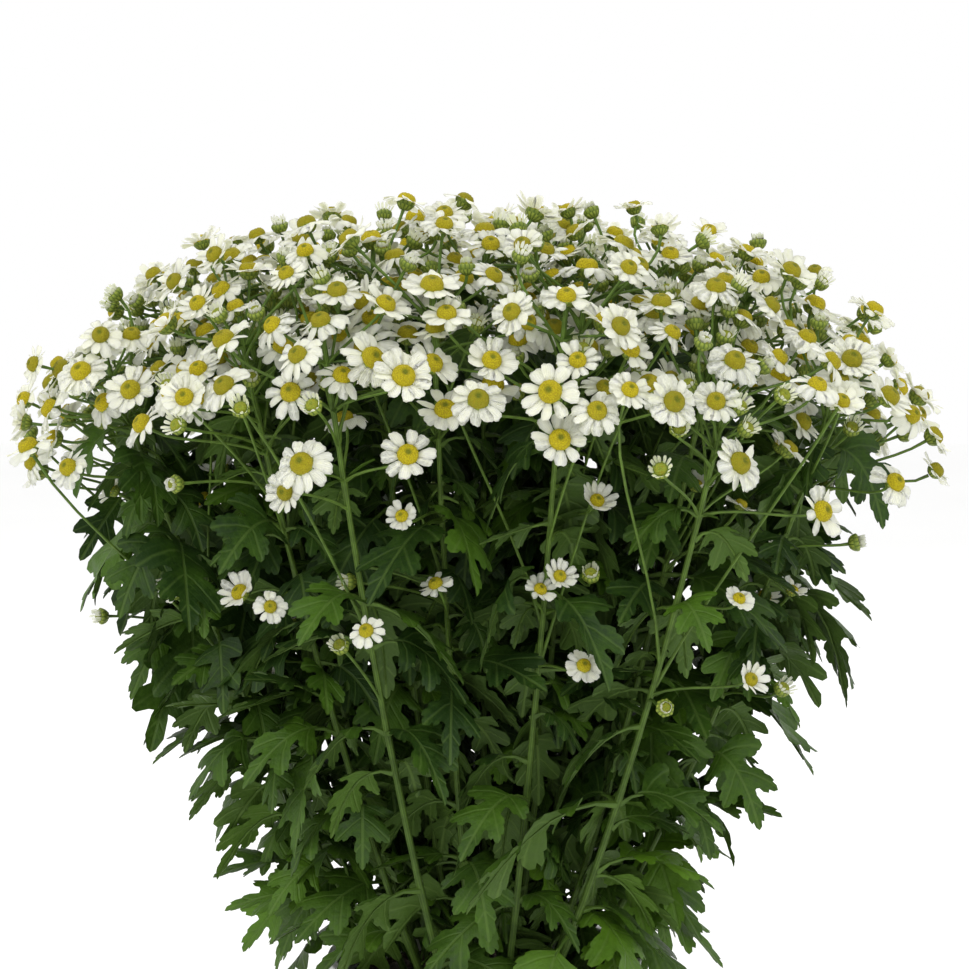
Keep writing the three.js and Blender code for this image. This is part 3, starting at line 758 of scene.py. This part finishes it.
def layLeaf(heap, grown, draw, plain=False):
    tone = toneAt(grown["curve"]["tip"], draw)
    kind = "plain" if plain else "large" if grown["length"] > leaf["largeFrom"] else "small"
    shape = shapes[kind][int(draw(0, blade["shapes"] - 0.01))]
    length = grown["length"]
    u, v = shape["u"], shape["v"] * draw(*blade["spread"])
    centres, headings = alongCurve(grown["curve"], u)
    sides, above = leafFrames(headings, grown["roll"] + draw(*blade["twist"]) * (u - 0.5))
    ripple = draw(*blade["ripple"])
    wave = ripple * np.sin(2 * math.pi * (shape["rank"] * blade["ripples"] + draw(0, 1)) + np.sign(v))
    out = np.abs(v)
    height = draw(*blade["fold"]) * out - draw(*blade["curl"]) * out ** 2 + wave * out / blade["rippleAt"]
    flat = centres + (sides * v[:, None] + above * height[:, None]) * length
    half = above * blade["thick"] / 2 * np.where(shape["margin"], blade["edge"], 1)[:, None]
    points = np.concatenate([flat + half, flat - half])
    uvs = np.tile(np.stack([shape["rank"], v * length / blade["veinMeasure"]], -1), (2, 1))
    tint = np.tile((tone, 0.0, 0.0, 1.0), (len(points), 1))
    tint[len(u):, 1] = 1
    top = shape["faces"]
    gather(heap, points, [top, top[:, ::-1] + len(u)], uvs, tint)
    shares = np.linspace(0, rib["end"], rib["steps"])
    if plain:
        shares = np.linspace(0, rib["plainEnd"], rib["plainSteps"])
    spine, headings = alongCurve(grown["curve"], shares)
    _, above = leafFrames(headings, np.full(len(shares), grown["roll"]))
    spine = spine - above * (np.clip(shares / rib["dropOver"], 0, 1) * rib["drop"])[:, None]
    radii = np.interp(shares, rib["at"], rib["radii"]) * (rib["slim"] + length / rib["widenOver"])
    gatherTube(heap, spine, radii, rib["sides"], (tone, rib["under"], rib["stalky"], 1))


# flower heads: sizes are shares of the head's radius, but thickness, the height of the cup's scales
# and everything of a bud are in millimetres
petal = {"count": (10.2, 14.4), "rows": (0, 0.26, 0.62, 0.9, 1.0),
         "width": (0.34, 0.72, 1.0, 0.86, 0.46), "columns": (-1, 0, 1), "notch": 0.035,
         "half": 0.234, "halfVary": (0.84, 1.14), "lost": 0.04, "root": 0.34, "reach": (0.93, 1.07),
         "thick": 0.22, "bow": 0.06, "bowVary": (-0.6, 1.6), "hollow": (-0.02, 0.04), "spread": 0.14,
         "twist": 0.75, "unruly": (0.07, 0.27), "aside": 0.2, "base": -0.045, "overlap": 0.02,
         "liftPower": 1.35, "hollowRun": 0.8}
disc = {"radius": 0.4, "rise": 0.33, "dimple": 0.09, "dimpleWidth": 0.25, "rings": 7, "sides": 14,
        "grain": 0.022, "under": 0.35, "open": 0.06, "outPower": 0.8, "upPower": 0.9}
cup = {"sides": 12, "profile": ((0.075, -0.40), (0.20, -0.375), (0.32, -0.27), (0.40, -0.13),
                                (0.415, -0.05), (0.36, 0.0)), "scale": 0.18, "under": 0.25,
       "stalky": 0.85}
budCup = {"profile": ((0.9, -4.2), (2.3, -3.7), (3.5, -2.4), (4.1, -0.9), (4.2, 0.2), (3.4, 0.9)),
          "scale": 0.2, "under": 0.3, "petals": 13, "root": 2.9, "half": 0.85, "reach": (2.0, 5.6),
          "reachVary": (0.85, 1.1), "lift": (3.6, 4.9), "liftVary": (0.75, 1.1), "aside": 0.2,
          "bow": 0.7, "hollow": 0.3, "base": 0.2, "young": (0.35, 0.9), "discUp": 0.9,
          "discRadius": 2.9, "discRise": 1.7, "discDimple": 0.3, "discYoung": 0.6}
petalFaces, petalInside = closedGrid(len(petal["rows"]), len(petal["columns"]))


def layPetals(heap, place, axes, spans, tint, draw):
    first, second, facing = axes
    s = np.array(petal["rows"])[:, None]
    q = np.array(petal["columns"])[None, :]
    width = np.array(petal["width"])[:, None]
    for span in spans:
        angle = span["angle"] + draw(-0.5, 0.5) * petal["spread"] * s
        radial = first * np.cos(angle)[..., None] + second * np.sin(angle)[..., None]
        tangent = second * np.cos(angle)[..., None] - first * np.sin(angle)[..., None]
        twist = draw(-petal["twist"], petal["twist"]) * s[..., None]
        across = tangent * np.cos(twist) + facing * np.sin(twist)
        notch = petal["notch"] * (1 - abs(q)) * (s == 1)
        out = span["root"] + (span["reach"] - span["root"]) * (s - notch)
        bow = span["bow"] * np.sin(math.pi * s)
        bow = bow - span["hollow"] * (1 - q * q) * np.sin(math.pi * s * petal["hollowRun"])
        height = span["base"] + span["lift"] * s ** petal["liftPower"] + bow
        flat = (place + radial * out[..., None] + facing * height[..., None]
                + across * (q * width * span["half"])[..., None])
        points = twoSided(flat.reshape(-1, 3), facing * petal["thick"] / 2, petalInside)
        uvs = np.stack(np.broadcast_arrays(q * 0.5 + 0.5, s), -1).reshape(-1, 2)
        uvs = np.concatenate([uvs, uvs[petalInside]])
        gather(heap, points, petalFaces, uvs, (tint, draw(0, 1), 0, 1))


def layRings(heap, place, axes, radii, heights, sides, tint, wobble=0.0, zigzag=0.0):
    first, second, facing = axes
    cosines, sines = circle(sides)
    ring = first * cosines[:, None] + second * sines[:, None]
    side, rank = np.arange(sides)[None], np.arange(len(radii))[:, None]
    radii = np.array(radii)[:, None] + wobble * (side % 2 * 2 - 1)
    heights = np.array(heights)[:, None] + zigzag * ((rank + side) % 2 * 2 - 1)
    points = place + ring[None] * radii[..., None] + facing * heights[..., None]
    uvs = np.stack(np.broadcast_arrays(side % 2, np.linspace(0, 1, len(rank))[:, None]), -1)
    gather(heap, points.reshape(-1, 3), tubeFaces(len(rank), sides), uvs.reshape(-1, 2), tint)


# from the underside, round the edge and up to the dimple in the middle
def layDisc(heap, place, axes, radius, rise, dimple, tint):
    turn = np.linspace(-disc["under"], math.pi / 2 - disc["open"], disc["rings"])
    radii = radius * np.cos(turn) ** disc["outPower"]
    heights = rise * np.sign(turn) * np.abs(np.sin(turn)) ** disc["upPower"]
    heights = heights - dimple * np.exp(-(radii / (radius * disc["dimpleWidth"])) ** 2)
    layRings(heap, place, axes, radii, heights, disc["sides"], tint, 0, radius * disc["grain"])


def headAxes(head):
    first, second = axesAbout(head["facing"], head["guide"])
    return np.array(first), np.array(second), np.array(head["facing"])


# the green cup under a head, the only green with nought in its tint's last channel
def layCup(heap, place, axes, shape, size, tone):
    radii, heights = np.array(shape["profile"]).T * size
    tint = (tone, shape["under"], cup["stalky"], 0)
    layRings(heap, place, axes, radii, heights, cup["sides"], tint, shape["scale"])


def layBloom(heaps, head, draw, tone):
    axes, size, place = headAxes(head), head["radius"], np.array(head["place"])
    count = int(draw(*petal["count"]))
    start, age = draw(0, 1), draw(0, 1)
    bow, hollow = draw(*petal["bowVary"]) * petal["bow"] * size, draw(*petal["hollow"]) * size
    unruly, spans = draw(*petal["unruly"]), []
    for i in range(count):
        if draw(0, 1) < petal["lost"]:
            continue
        reach = size * draw(*petal["reach"])
        aside = draw(-petal["aside"], petal["aside"])
        spans.append({"angle": (i + start + aside) * 2 * math.pi / count,
                      "root": size * petal["root"], "reach": reach, "bow": bow, "hollow": hollow,
                      "base": (petal["base"] + petal["overlap"] * (i % 2)) * size,
                      "lift": head["lift"] + draw(-unruly, unruly) * size,
                      "half": size * petal["half"] * draw(*petal["halfVary"])})
    layPetals(heaps["petals"], place, axes, spans, 0.0, draw)
    layDisc(heaps["discs"], place, axes, size * disc["radius"], size * disc["rise"],
            size * disc["dimple"], (age, draw(0, 1), 0, 1))
    layCup(heaps["greens"], place, axes, cup, size, tone)


def layBud(heaps, head, draw, tone):
    axes, place = headAxes(head), np.array(head["place"])
    opened, spans = draw(0, 1), []
    layCup(heaps["greens"], place, axes, budCup, 1, tone)
    for i in range(budCup["petals"]):
        angle = (i + draw(-budCup["aside"], budCup["aside"])) * 2 * math.pi / budCup["petals"]
        reach = mix(*budCup["reach"], opened) * draw(*budCup["reachVary"])
        lift = mix(*budCup["lift"], opened) * draw(*budCup["liftVary"])
        spans.append({**budCup, "angle": angle, "reach": reach, "lift": lift})
    layPetals(heaps["petals"], place, axes, spans, draw(*budCup["young"]), draw)
    layDisc(heaps["discs"], place + axes[2] * budCup["discUp"], axes, budCup["discRadius"],
            budCup["discRise"], budCup["discDimple"], (1.0, draw(0, 1), budCup["discYoung"], 1))


# a head's stalk: radii in millimetres, and its bends as shares of its length
stalk = {"radii": (1.1, 0.72, 0.72, 0.9), "at": (0, 0.12, 0.9, 1), "steps": 8, "sides": 5, "start": 0.3,
         "bend": 0.38, "neck": 0.28, "into": 0.6, "under": 0.1}


def layStalk(heap, face, head, tone):
    root, neck = face["root"], head["neck"]
    length = apart(root, neck)
    start = unit(plus(unit(minus(neck, root)), face["heading"], stalk["start"]))
    path = bezier(root, plus(root, start, length * stalk["bend"]),
                  plus(neck, head["facing"], -length * stalk["neck"]),
                  plus(neck, head["facing"], stalk["into"]), stalk["steps"])
    radii = np.interp(np.linspace(0, 1, stalk["steps"]), stalk["at"], stalk["radii"])
    gatherTube(heap, path, radii, stalk["sides"], (tone, stalk["under"], 1, 1))


# narrow bracts where the first flowers' stalks leave the stem
bract = {"length": (9, 19), "rows": (0, 0.3, 0.62, 0.86, 1.0), "width": (0.5, 0.8, 1.0, 0.6, 0.12),
         "half": 0.13, "rise": (0.1, 1.0), "fold": 0.05, "droop": 0.25, "thick": 0.32, "veins": (0, 0.3),
         "under": 0.1, "stalky": 0.2}
bractFaces, bractInside = closedGrid(len(bract["rows"]), 3)


def layBract(heap, face, draw, tone):
    length = draw(*bract["length"])
    heading = unit(plus(face["outward"], face["heading"], draw(*bract["rise"])))
    across = np.array(unit(cross(face["heading"], face["outward"])))
    above = np.cross(across, heading) * -1
    s = np.array(bract["rows"])[:, None]
    q = np.array((-1, 0, 1))[None, :]
    width = np.array(bract["width"])[:, None] * bract["half"] * length * q
    height = (np.abs(q) * bract["fold"] - s * s * bract["droop"]) * length
    flat = (np.array(face["root"]) + np.array(heading) * (s * length + 0 * q)[..., None]
            + across * width[..., None] + above * height[..., None]).reshape(-1, 3)
    points = twoSided(flat, above * bract["thick"] / 2, bractInside)
    gather(heap, points, bractFaces, bract["veins"], (tone, bract["under"], bract["stalky"], 1))


# the main stem, a little slimmer than the solid's and thicker where it bears shoots
mainStem = {"steps": 42, "from": -0.02, "sides": 8, "slim": 0.82, "knot": 0.3, "knotWidth": 75,
            "under": 0.05}


def layStem(heap, line, tone):
    shares = np.linspace(mainStem["from"], 1, mainStem["steps"])
    path, _ = alongCurve(line, shares)
    path[-1] = line["head"]["neck"]
    radii = stemRadius(np.clip(shares, 0, 1)) * mainStem["slim"]
    for whorl in line["whorls"]:
        knot = np.exp(-((shares - whorl["share"]) * mainStem["knotWidth"]) ** 2)
        radii = radii * (1 + mainStem["knot"] * knot)
    gatherTube(heap, path, radii, mainStem["sides"], (tone, mainStem["under"], 1, 1))


def layFlower(heaps, grown, draw, tone, bracted=False):
    face, head = grown["face"], grown["head"]
    layStalk(heaps["greens"], face, head, tone)
    if bracted:
        layBract(heaps["greens"], face, draw, tone)
    (layBud if head["bud"] else layBloom)(heaps, head, draw, tone)


def makeStem(line, number):
    draw = diceFrom("dress", line["k"])
    heaps = {"greens": newHeap(), "petals": newHeap(), "discs": newHeap()}
    tone = draw(*shade["stems"])
    layStem(heaps["greens"], line, tone)
    layBloom(heaps, line["head"], draw, tone)
    for shoot in [shoot for whorl in line["whorls"] for shoot in whorl["shoots"] if shoot]:
        if shoot["kind"] == "leaf":
            layLeaf(heaps["greens"], shoot, draw)
        else:
            layFlower(heaps, shoot, draw, tone, True)
    for grown in line["sprigs"]:
        layFlower(heaps, grown, draw, tone)
    for grown in line["fillers"]:
        layLeaf(heaps["greens"], grown, draw)
    for grown in line["core"]:
        layLeaf(heaps["greens"], grown, draw, True)
    for part, material, slotName in (("greens", leafGreen, "foliage"), ("petals", petalWhite, "petals"),
                                     ("discs", discGold, "discs")):
        piece = makePiece("%s_%02d" % (part, number), heaps[part], material)
        dress(piece, "leafy_stem_%02d" % number, slotName)


# finishes
def fill(tree, node, values):
    for socket, value in values.items():
        if isinstance(value, bpy.types.NodeSocket):
            tree.links.new(value, node.inputs[socket])
        else:
            node.inputs[socket].default_value = value


def put(tree, kind, values, output=0, **settings):
    made = tree.nodes.new("ShaderNode" + kind)
    for setting, value in settings.items():
        setattr(made, setting, value)
    fill(tree, made, values)
    return made.outputs[output]


def newFinish(name):
    material = bpy.data.materials.new(name)
    material.use_nodes = True
    tree = material.node_tree
    return material, tree, put(tree, "TexCoord", {}, "Object")


def blend(tree, share, low, high):
    low, high = (value if isinstance(value, bpy.types.NodeSocket) else (*value, 1) for value in (low, high))
    return put(tree, "Mix", {0: share, 6: low, 7: high}, 2, data_type="RGBA")


# each layer goes over those before it, by its own share
def layered(tree, colour, *layers):
    for share, over in layers:
        colour = blend(tree, share, colour, over)
    return colour


def reckon(tree, operation, a, b=0.0):
    return put(tree, "Math", {0: a, 1: b}, operation=operation)


def add(tree, a, b):
    return reckon(tree, "ADD", a, b)


def multiply(tree, a, b):
    return reckon(tree, "MULTIPLY", a, b)


# nought at each whole number, and half midway between two
def offWhole(tree, value):
    return reckon(tree, "PINGPONG", value, 0.5)


def remap(tree, value, fromMin, fromMax, toMin=0.0, toMax=1.0):
    return put(tree, "MapRange", {"Value": value, "From Min": fromMin, "From Max": fromMax,
                                  "To Min": toMin, "To Max": toMax})


def noise(tree, place, scale, detail=2.0, rough=0.55):
    return put(tree, "TexNoise", {"Vector": place, "Scale": scale, "Detail": detail, "Roughness": rough})


# noise keeps mostly between these two, which become low and high
def vary(tree, noisy, low=0.0, high=1.0):
    return remap(tree, noisy, 0.3, 0.7, low, high)


# the finish's dictionary gives its least and most roughness, its gloss, and its relief's strength
# and depth in metres
def settle(material, look, colour, grain, height, more={}):
    tree, (strength, depth) = material.node_tree, look["relief"]
    normal = put(tree, "Bump", {"Height": height, "Strength": strength, "Distance": depth})
    fill(tree, tree.nodes["Principled BSDF"], {
        "Base Color": colour, "Roughness": vary(tree, grain, *look["rough"]), "Normal": normal,
        "Specular IOR Level": look["gloss"], **more})
    return material


def tintChannels(tree):
    colour = put(tree, "Attribute", {}, "Color", attribute_name="tint")
    return [put(tree, "SeparateColor", {0: colour}, i) for i in range(3)]


def uvChannels(tree):
    coordinates = put(tree, "UVMap", {}, uv_map="across")
    return [put(tree, "SeparateXYZ", {0: coordinates}, i) for i in range(2)]


green = {"deep": (0.012, 0.034, 0.004), "bright": (0.085, 0.185, 0.010), "under": (0.072, 0.125, 0.026),
         "stalk": (0.135, 0.23, 0.034), "vein": (0.115, 0.19, 0.04), "scale": (0.27, 0.33, 0.048),
         "shadedSeam": (0.08, 0.13, 0.016), "patches": 45, "mottle": 420, "streaks": 160, "streak": 0.62,
         "stalkPaintedShade": (0.5, 0.05), "stalkHeights": (0.25, 0.42), "rough": (0.42, 0.62), "gloss": 0.22,
         "relief": (0.55, 0.0006)}


def stalkColour(tree, place, offRank, stalky):
    dim = tuple(channel * green["streak"] for channel in green["stalk"])
    streaks = remap(tree, noise(tree, place, green["streaks"]), 0.35, 0.65)
    colour = blend(tree, streaks, green["stalk"], dim)
    # painted shade: stalks darker lower down, under the leaves and the crown
    height = put(tree, "SeparateXYZ", {0: place}, 2)
    dark = remap(tree, height, *green["stalkHeights"], *green["stalkPaintedShade"])
    colour = blend(tree, dark, colour, green["deep"])
    # painted shade in the stalks' grooves, which the relief also sinks
    groovesAndShade = multiply(tree, remap(tree, offRank, 0.02, 0.3, 0.45, 0), stalky)
    return blend(tree, groovesAndShade, colour, green["deep"]), groovesAndShade


# two rows of scales round the flower cups, the second half a scale further round, with painted shade in the
# seams between the scales and at each scale's foot
def cupScales(tree, rank, across, mottle):
    row = multiply(tree, across, 2.0)
    shift = multiply(tree, reckon(tree, "GREATER_THAN", row, 1.0), 0.5)
    sides = remap(tree, offWhole(tree, add(tree, rank, shift)), 0.03, 0.28)
    rows = remap(tree, reckon(tree, "FRACT", row), 0, 0.7, 0.3, 1)
    return multiply(tree, multiply(tree, sides, rows), vary(tree, mottle, 0.75, 1))


def foliageFinish():
    material, tree, place = newFinish("leafGreen")
    tone, under, stalky = tintChannels(tree)
    rank, across = uvChannels(tree)
    mottle = noise(tree, place, green["mottle"])
    tone = add(tree, tone, vary(tree, noise(tree, place, green["patches"]), -0.15, 0.17))
    tone = add(tree, tone, vary(tree, mottle, -0.09, 0.09))
    # deep to bright green by tone, which carries the leaves' painted light and painted shade
    blades = blend(tree, put(tree, "Clamp", {0: tone}), green["deep"], green["bright"])
    underside = blend(tree, 0.35, green["under"], blades)
    # midrib and side veins, in the blades' own lengthwise and crosswise measure
    offRank = offWhole(tree, rank)
    sideVein = remap(tree, offRank, 0.01, 0.07, 0.75, 0)
    fineVein = remap(tree, offWhole(tree, multiply(tree, rank, 4)), 0.03, 0.2, 0.16, 0)
    midrib = remap(tree, reckon(tree, "ABSOLUTE", across), 0.008, 0.02, 1, 0)
    veins = reckon(tree, "MAXIMUM", reckon(tree, "MAXIMUM", sideVein, fineVein), midrib)
    veins = multiply(tree, veins, remap(tree, stalky, 0, 0.1, 1, 0))
    veined = multiply(tree, veins, remap(tree, under, 0, 1, 0.36, 0.6))
    stalks, groovesAndShade = stalkColour(tree, place, offRank, stalky)
    isCup = reckon(tree, "SUBTRACT", 1.0, put(tree, "Attribute", {}, "Alpha", attribute_name="tint"))
    scales = cupScales(tree, rank, across, mottle)
    cups = blend(tree, scales, green["shadedSeam"], green["scale"])
    colour = layered(tree, blades, (multiply(tree, under, 0.85), underside), (veined, green["vein"]),
                     (stalky, stalks), (isCup, cups))
    sunk = multiply(tree, reckon(tree, "MAXIMUM", veins, groovesAndShade), -1.0)
    height = add(tree, add(tree, sunk, mottle), multiply(tree, isCup, scales))
    return settle(material, green, colour, mottle, height)


white = {"petal": (0.85, 0.86, 0.68), "shade": (0.70, 0.72, 0.49), "root": (0.64, 0.66, 0.28),
         "young": (0.56, 0.64, 0.24), "flecks": 300, "lines": 6, "rough": (0.5, 0.72), "gloss": 0.3,
         "relief": (0.4, 0.0003)}
# light that comes through the petals
through = {"Subsurface Weight": 0.8, "Subsurface Scale": 0.001, "Subsurface Radius": (1.0, 1.0, 0.8)}


def petalFinish():
    material, tree, place = newFinish("petalWhite")
    young, change, _ = tintChannels(tree)
    across, along = uvChannels(tree)
    flecks = noise(tree, place, white["flecks"])
    flecked = multiply(tree, remap(tree, flecks, 0.35, 0.75), remap(tree, change, 0, 1, 0.25, 0.8))
    lines = offWhole(tree, multiply(tree, across, white["lines"]))
    colour = layered(tree, white["petal"], (flecked, white["shade"]),
                     (remap(tree, lines, 0, 0.22, 0.42, 0), white["shade"]),
                     (remap(tree, along, 0, 0.3, 0.6, 0), white["root"]), (young, white["young"]))
    height = add(tree, remap(tree, lines, 0, 0.5), multiply(tree, flecks, 0.5))
    return settle(material, white, colour, flecks, height, through)


gold = {"fresh": (0.56, 0.46, 0.007), "old": (0.27, 0.26, 0.010), "middle": (0.10, 0.16, 0.012),
        "shadedSeam": (0.25, 0.19, 0.006), "green": (0.30, 0.42, 0.06), "grains": 1500, "patches": 500,
        "rough": (0.65, 0.85), "gloss": 0.25, "relief": (0.9, 0.0005)}


def discFinish():
    material, tree, place = newFinish("discGold")
    age, _, young = tintChannels(tree)
    rise = uvChannels(tree)[1]
    grains = put(tree, "TexVoronoi", {"Vector": place, "Scale": gold["grains"], "Randomness": 0.7})
    patches = noise(tree, place, gold["patches"])
    age = add(tree, remap(tree, age, 0.15, 0.95), vary(tree, patches, -0.15, 0.15))
    # painted shade: darker in the seams between the disc's florets, which the relief also sinks
    colour = layered(tree, gold["fresh"], (put(tree, "Clamp", {0: age}), gold["old"]),
                     (remap(tree, rise, 0.84, 0.97, 0, 0.85), gold["middle"]), (young, gold["green"]),
                     (remap(tree, grains, 0.35, 0.75, 0, 0.7), gold["shadedSeam"]))
    return settle(material, gold, colour, patches, remap(tree, grains, 0, 0.7, 1, 0))


glaze = {"base": (0.44, 0.45, 0.44), "pale": (0.53, 0.53, 0.515), "speck": (0.25, 0.24, 0.22),
         "clouds": 14, "specks": 260, "thinning": 90, "waves": 60, "pits": 700, "rough": (0.3, 0.5),
         "gloss": 0.5, "relief": (0.25, 0.0008)}


def potFinish():
    material, tree, place = newFinish("potGlaze")
    clouds = noise(tree, place, glaze["clouds"], 4)
    specks = put(tree, "TexVoronoi", {"Vector": place, "Scale": glaze["specks"]})
    some = remap(tree, noise(tree, place, glaze["thinning"]), 0.5, 0.62)
    spots = multiply(tree, remap(tree, specks, 0.08, 0.16, 0.55, 0), some)
    colour = layered(tree, glaze["base"], (vary(tree, clouds), glaze["pale"]), (spots, glaze["speck"]))
    pits = multiply(tree, noise(tree, place, glaze["pits"]), 0.2)
    height = add(tree, noise(tree, place, glaze["waves"]), pits)
    return settle(material, glaze, colour, clouds, height)


earth = {"dark": (0.018, 0.012, 0.008), "brown": (0.075, 0.045, 0.026), "fleck": (0.22, 0.17, 0.12),
         "lumps": 220, "crumbs": 420, "flecks": 520, "rough": (0.8, 0.98), "gloss": 0.5,
         "relief": (0.9, 0.002)}


def soilFinish():
    material, tree, place = newFinish("pottingSoil")
    lumps = noise(tree, place, earth["lumps"], 5, 0.65)
    crumbs = put(tree, "TexVoronoi", {"Vector": place, "Scale": earth["crumbs"]})
    flecks = remap(tree, noise(tree, place, earth["flecks"]), 0.66, 0.72, 0, 0.8)
    colour = layered(tree, earth["dark"], (remap(tree, lumps, 0.35, 0.65), earth["brown"]),
                     (flecks, earth["fleck"]))
    return settle(material, earth, colour, lumps, add(tree, lumps, multiply(tree, crumbs, -0.6)))


paper = {"dull": (0.965, 0.965, 0.96), "pale": (0.985, 0.985, 0.98), "clouds": 1.5, "rough": 0.85,
         "gloss": 0.1}


def paperFinish():
    material, tree, place = newFinish("paleGround")
    clouds = vary(tree, noise(tree, place, paper["clouds"]))
    fill(tree, tree.nodes["Principled BSDF"], {
        "Base Color": blend(tree, clouds, paper["dull"], paper["pale"]),
        "Roughness": paper["rough"], "Specular IOR Level": paper["gloss"]})
    return material


leafGreen, petalWhite, discGold = foliageFinish(), petalFinish(), discFinish()
print("finishes made")

for number, line in enumerate(plant, 1):
    makeStem(line, number)
print("leafy stems dressed")

# pot and soil
potMake = {"sides": 160, "round": 1.5, "roundSteps": 5, "roundMost": 0.45, "middle": 1, "sharpFrom": 50}
soilMake = {"rings": 34, "sides": 100, "middle": 0.6, "depth": 30, "gap": 0.4, "waves": 26, "relief": 0.375,
            "pace": (0.05, 0.9), "turn": (0, 6.28), "size": (0.2, 1), "sink": 0.6, "crumbs": 420,
            "crumb": (0.7, 2.3), "wide": (0.6, 1.3), "tall": (0.5, 0.9), "crumbSink": 0.2, "inset": 4,
            "sharpFrom": 40}
crumb = np.array([(1, 0, 0), (0, 1, 0), (-1, 0, 0), (0, -1, 0), (0, 0, 1), (0, 0, -1)], float)
crumbFaces = np.array([(0, 1, 4), (1, 2, 4), (2, 3, 4), (3, 0, 4),
                       (1, 0, 5), (2, 1, 5), (3, 2, 5), (0, 3, 5)])


def layRounds(heap, radii, heights, sides):
    cosines, sines = circle(sides)
    radii = np.array(radii)[:, None]
    points = np.stack(np.broadcast_arrays(radii * cosines, radii * sines, heights), -1)
    gather(heap, points.reshape(-1, 3), tubeFaces(len(radii), sides))


def rounded(corners):
    corners, size, most = np.array(corners, float), potMake["round"], potMake["roundMost"]
    made = [corners[0]]
    for before, corner, after in zip(corners, corners[1:], corners[2:]):
        start, end = (corner + (other - corner) * min(most, size / np.linalg.norm(other - corner))
                      for other in (before, after))
        for t in np.linspace(0, 1, potMake["roundSteps"]):
            made.append(start * (1 - t) ** 2 + corner * 2 * t * (1 - t) + end * t * t)
    return np.array(made + [corners[-1]])


def wallRadius(height):
    inside = mix(pot["base"], pot["rim"], height / pot["height"]) - pot["wall"]
    return inside - pot["step"] * (1 - height / pot["height"])


def makePot():
    tall, floor, bandFoot = pot["height"], pot["floor"], pot["height"] - pot["band"]
    bandRadius = mix(pot["base"], pot["rim"], bandFoot / tall)
    corners = [(potMake["middle"], 0), (pot["base"], 0), (bandRadius - pot["step"], bandFoot),
               (bandRadius, bandFoot), (pot["rim"], tall), (wallRadius(tall), tall),
               (wallRadius(floor), floor), (potMake["middle"], floor)]
    profile = rounded(corners)
    heap = newHeap()
    layRounds(heap, profile[:, 0], profile[:, 1:], potMake["sides"])
    dress(makePiece("pot_turned", heap, potFinish(), potMake["sharpFrom"]), "pot", "pot")


def makeSoil():
    heap, draw, sides = newHeap(), diceFrom("soil"), soilMake["sides"]
    top, foot = soil["top"], soil["top"] - soilMake["depth"]
    edge = wallRadius(top) - soilMake["gap"]
    rings = np.linspace(edge, soilMake["middle"], soilMake["rings"])
    waves = [[draw(*soilMake[name]) for name in ("pace", "turn", "turn", "size")]
             for _ in range(soilMake["waves"])]
    x, y = (rings[:, None] * side for side in circle(sides))
    height = sum(size * np.sin(x * pace * math.cos(turn) + y * pace * math.sin(turn) + shift)
                 for pace, turn, shift, size in waves)
    height = top - soilMake["sink"] + soilMake["relief"] * height
    low = wallRadius(foot) - soilMake["gap"]
    layRounds(heap, [low, *rings], np.concatenate([np.full((1, sides), foot), height]), sides)
    for _ in range(soilMake["crumbs"]):
        far, turn = (edge - soilMake["inset"]) * math.sqrt(draw(0, 1)), draw(*soilMake["turn"])
        size = draw(*soilMake["crumb"])
        stretch = np.array([draw(*soilMake[name]) for name in ("wide", "wide", "tall")]) * size
        centre = np.array([far * math.cos(turn), far * math.sin(turn), top - soilMake["crumbSink"]])
        gather(heap, centre + crumb * stretch, [crumbFaces])
    dress(makePiece("soil_crumbly", heap, soilFinish(), soilMake["sharpFrom"]), "soil", "soil")


makePot()
makeSoil()
print("pot and soil made")

# pale ground and soft light
stage = {"radius": 6000, "sides": 96, "below": 0.5}
day = {"Color": (1, 1, 1, 1), "Strength": 1.0}
lamps = {
    "key": {"place": (-1.1, -1.7, 2.1), "size": 1.6, "power": 20, "colour": (1, 0.985, 0.95)},
    "fill": {"place": (1.6, -1.5, 1.0), "size": 1.5, "power": 5, "colour": (0.97, 0.985, 1)},
    "back": {"place": (0.4, 1.6, 1.9), "size": 1.3, "power": 12, "colour": (1, 1, 1)},
}
lampAim = Vector((0, 0, 0.38))


def makeGround():
    heap = newHeap()
    cosines, sines = circle(stage["sides"])
    rim = np.stack([cosines, sines, 0 * sines], -1) * stage["radius"]
    gather(heap, rim - (0, 0, stage["below"]), [np.arange(stage["sides"])[None]])
    makePiece("ground", heap, paperFinish())


def makeDay():
    world = bpy.data.worlds.new("softDay")
    world.use_nodes = True
    fill(world.node_tree, world.node_tree.nodes["Background"], day)
    bpy.context.scene.world = world


def makeLamp(name, lamp):
    data = bpy.data.lights.new(name, "AREA")
    data.energy, data.size, data.color = lamp["power"], lamp["size"], lamp["colour"]
    light = bpy.data.objects.new(name, data)
    bpy.context.scene.collection.objects.link(light)
    light.location = lamp["place"]
    light.rotation_euler = (lampAim - light.location).to_track_quat("-Z", "Y").to_euler()


makeGround()
makeDay()
for name, lamp in lamps.items():
    makeLamp(name, lamp)
bpy.context.scene.view_settings.view_transform = "Standard"
print("ground and lights set")
print("triangles:", triangles, sum(triangles.values()))
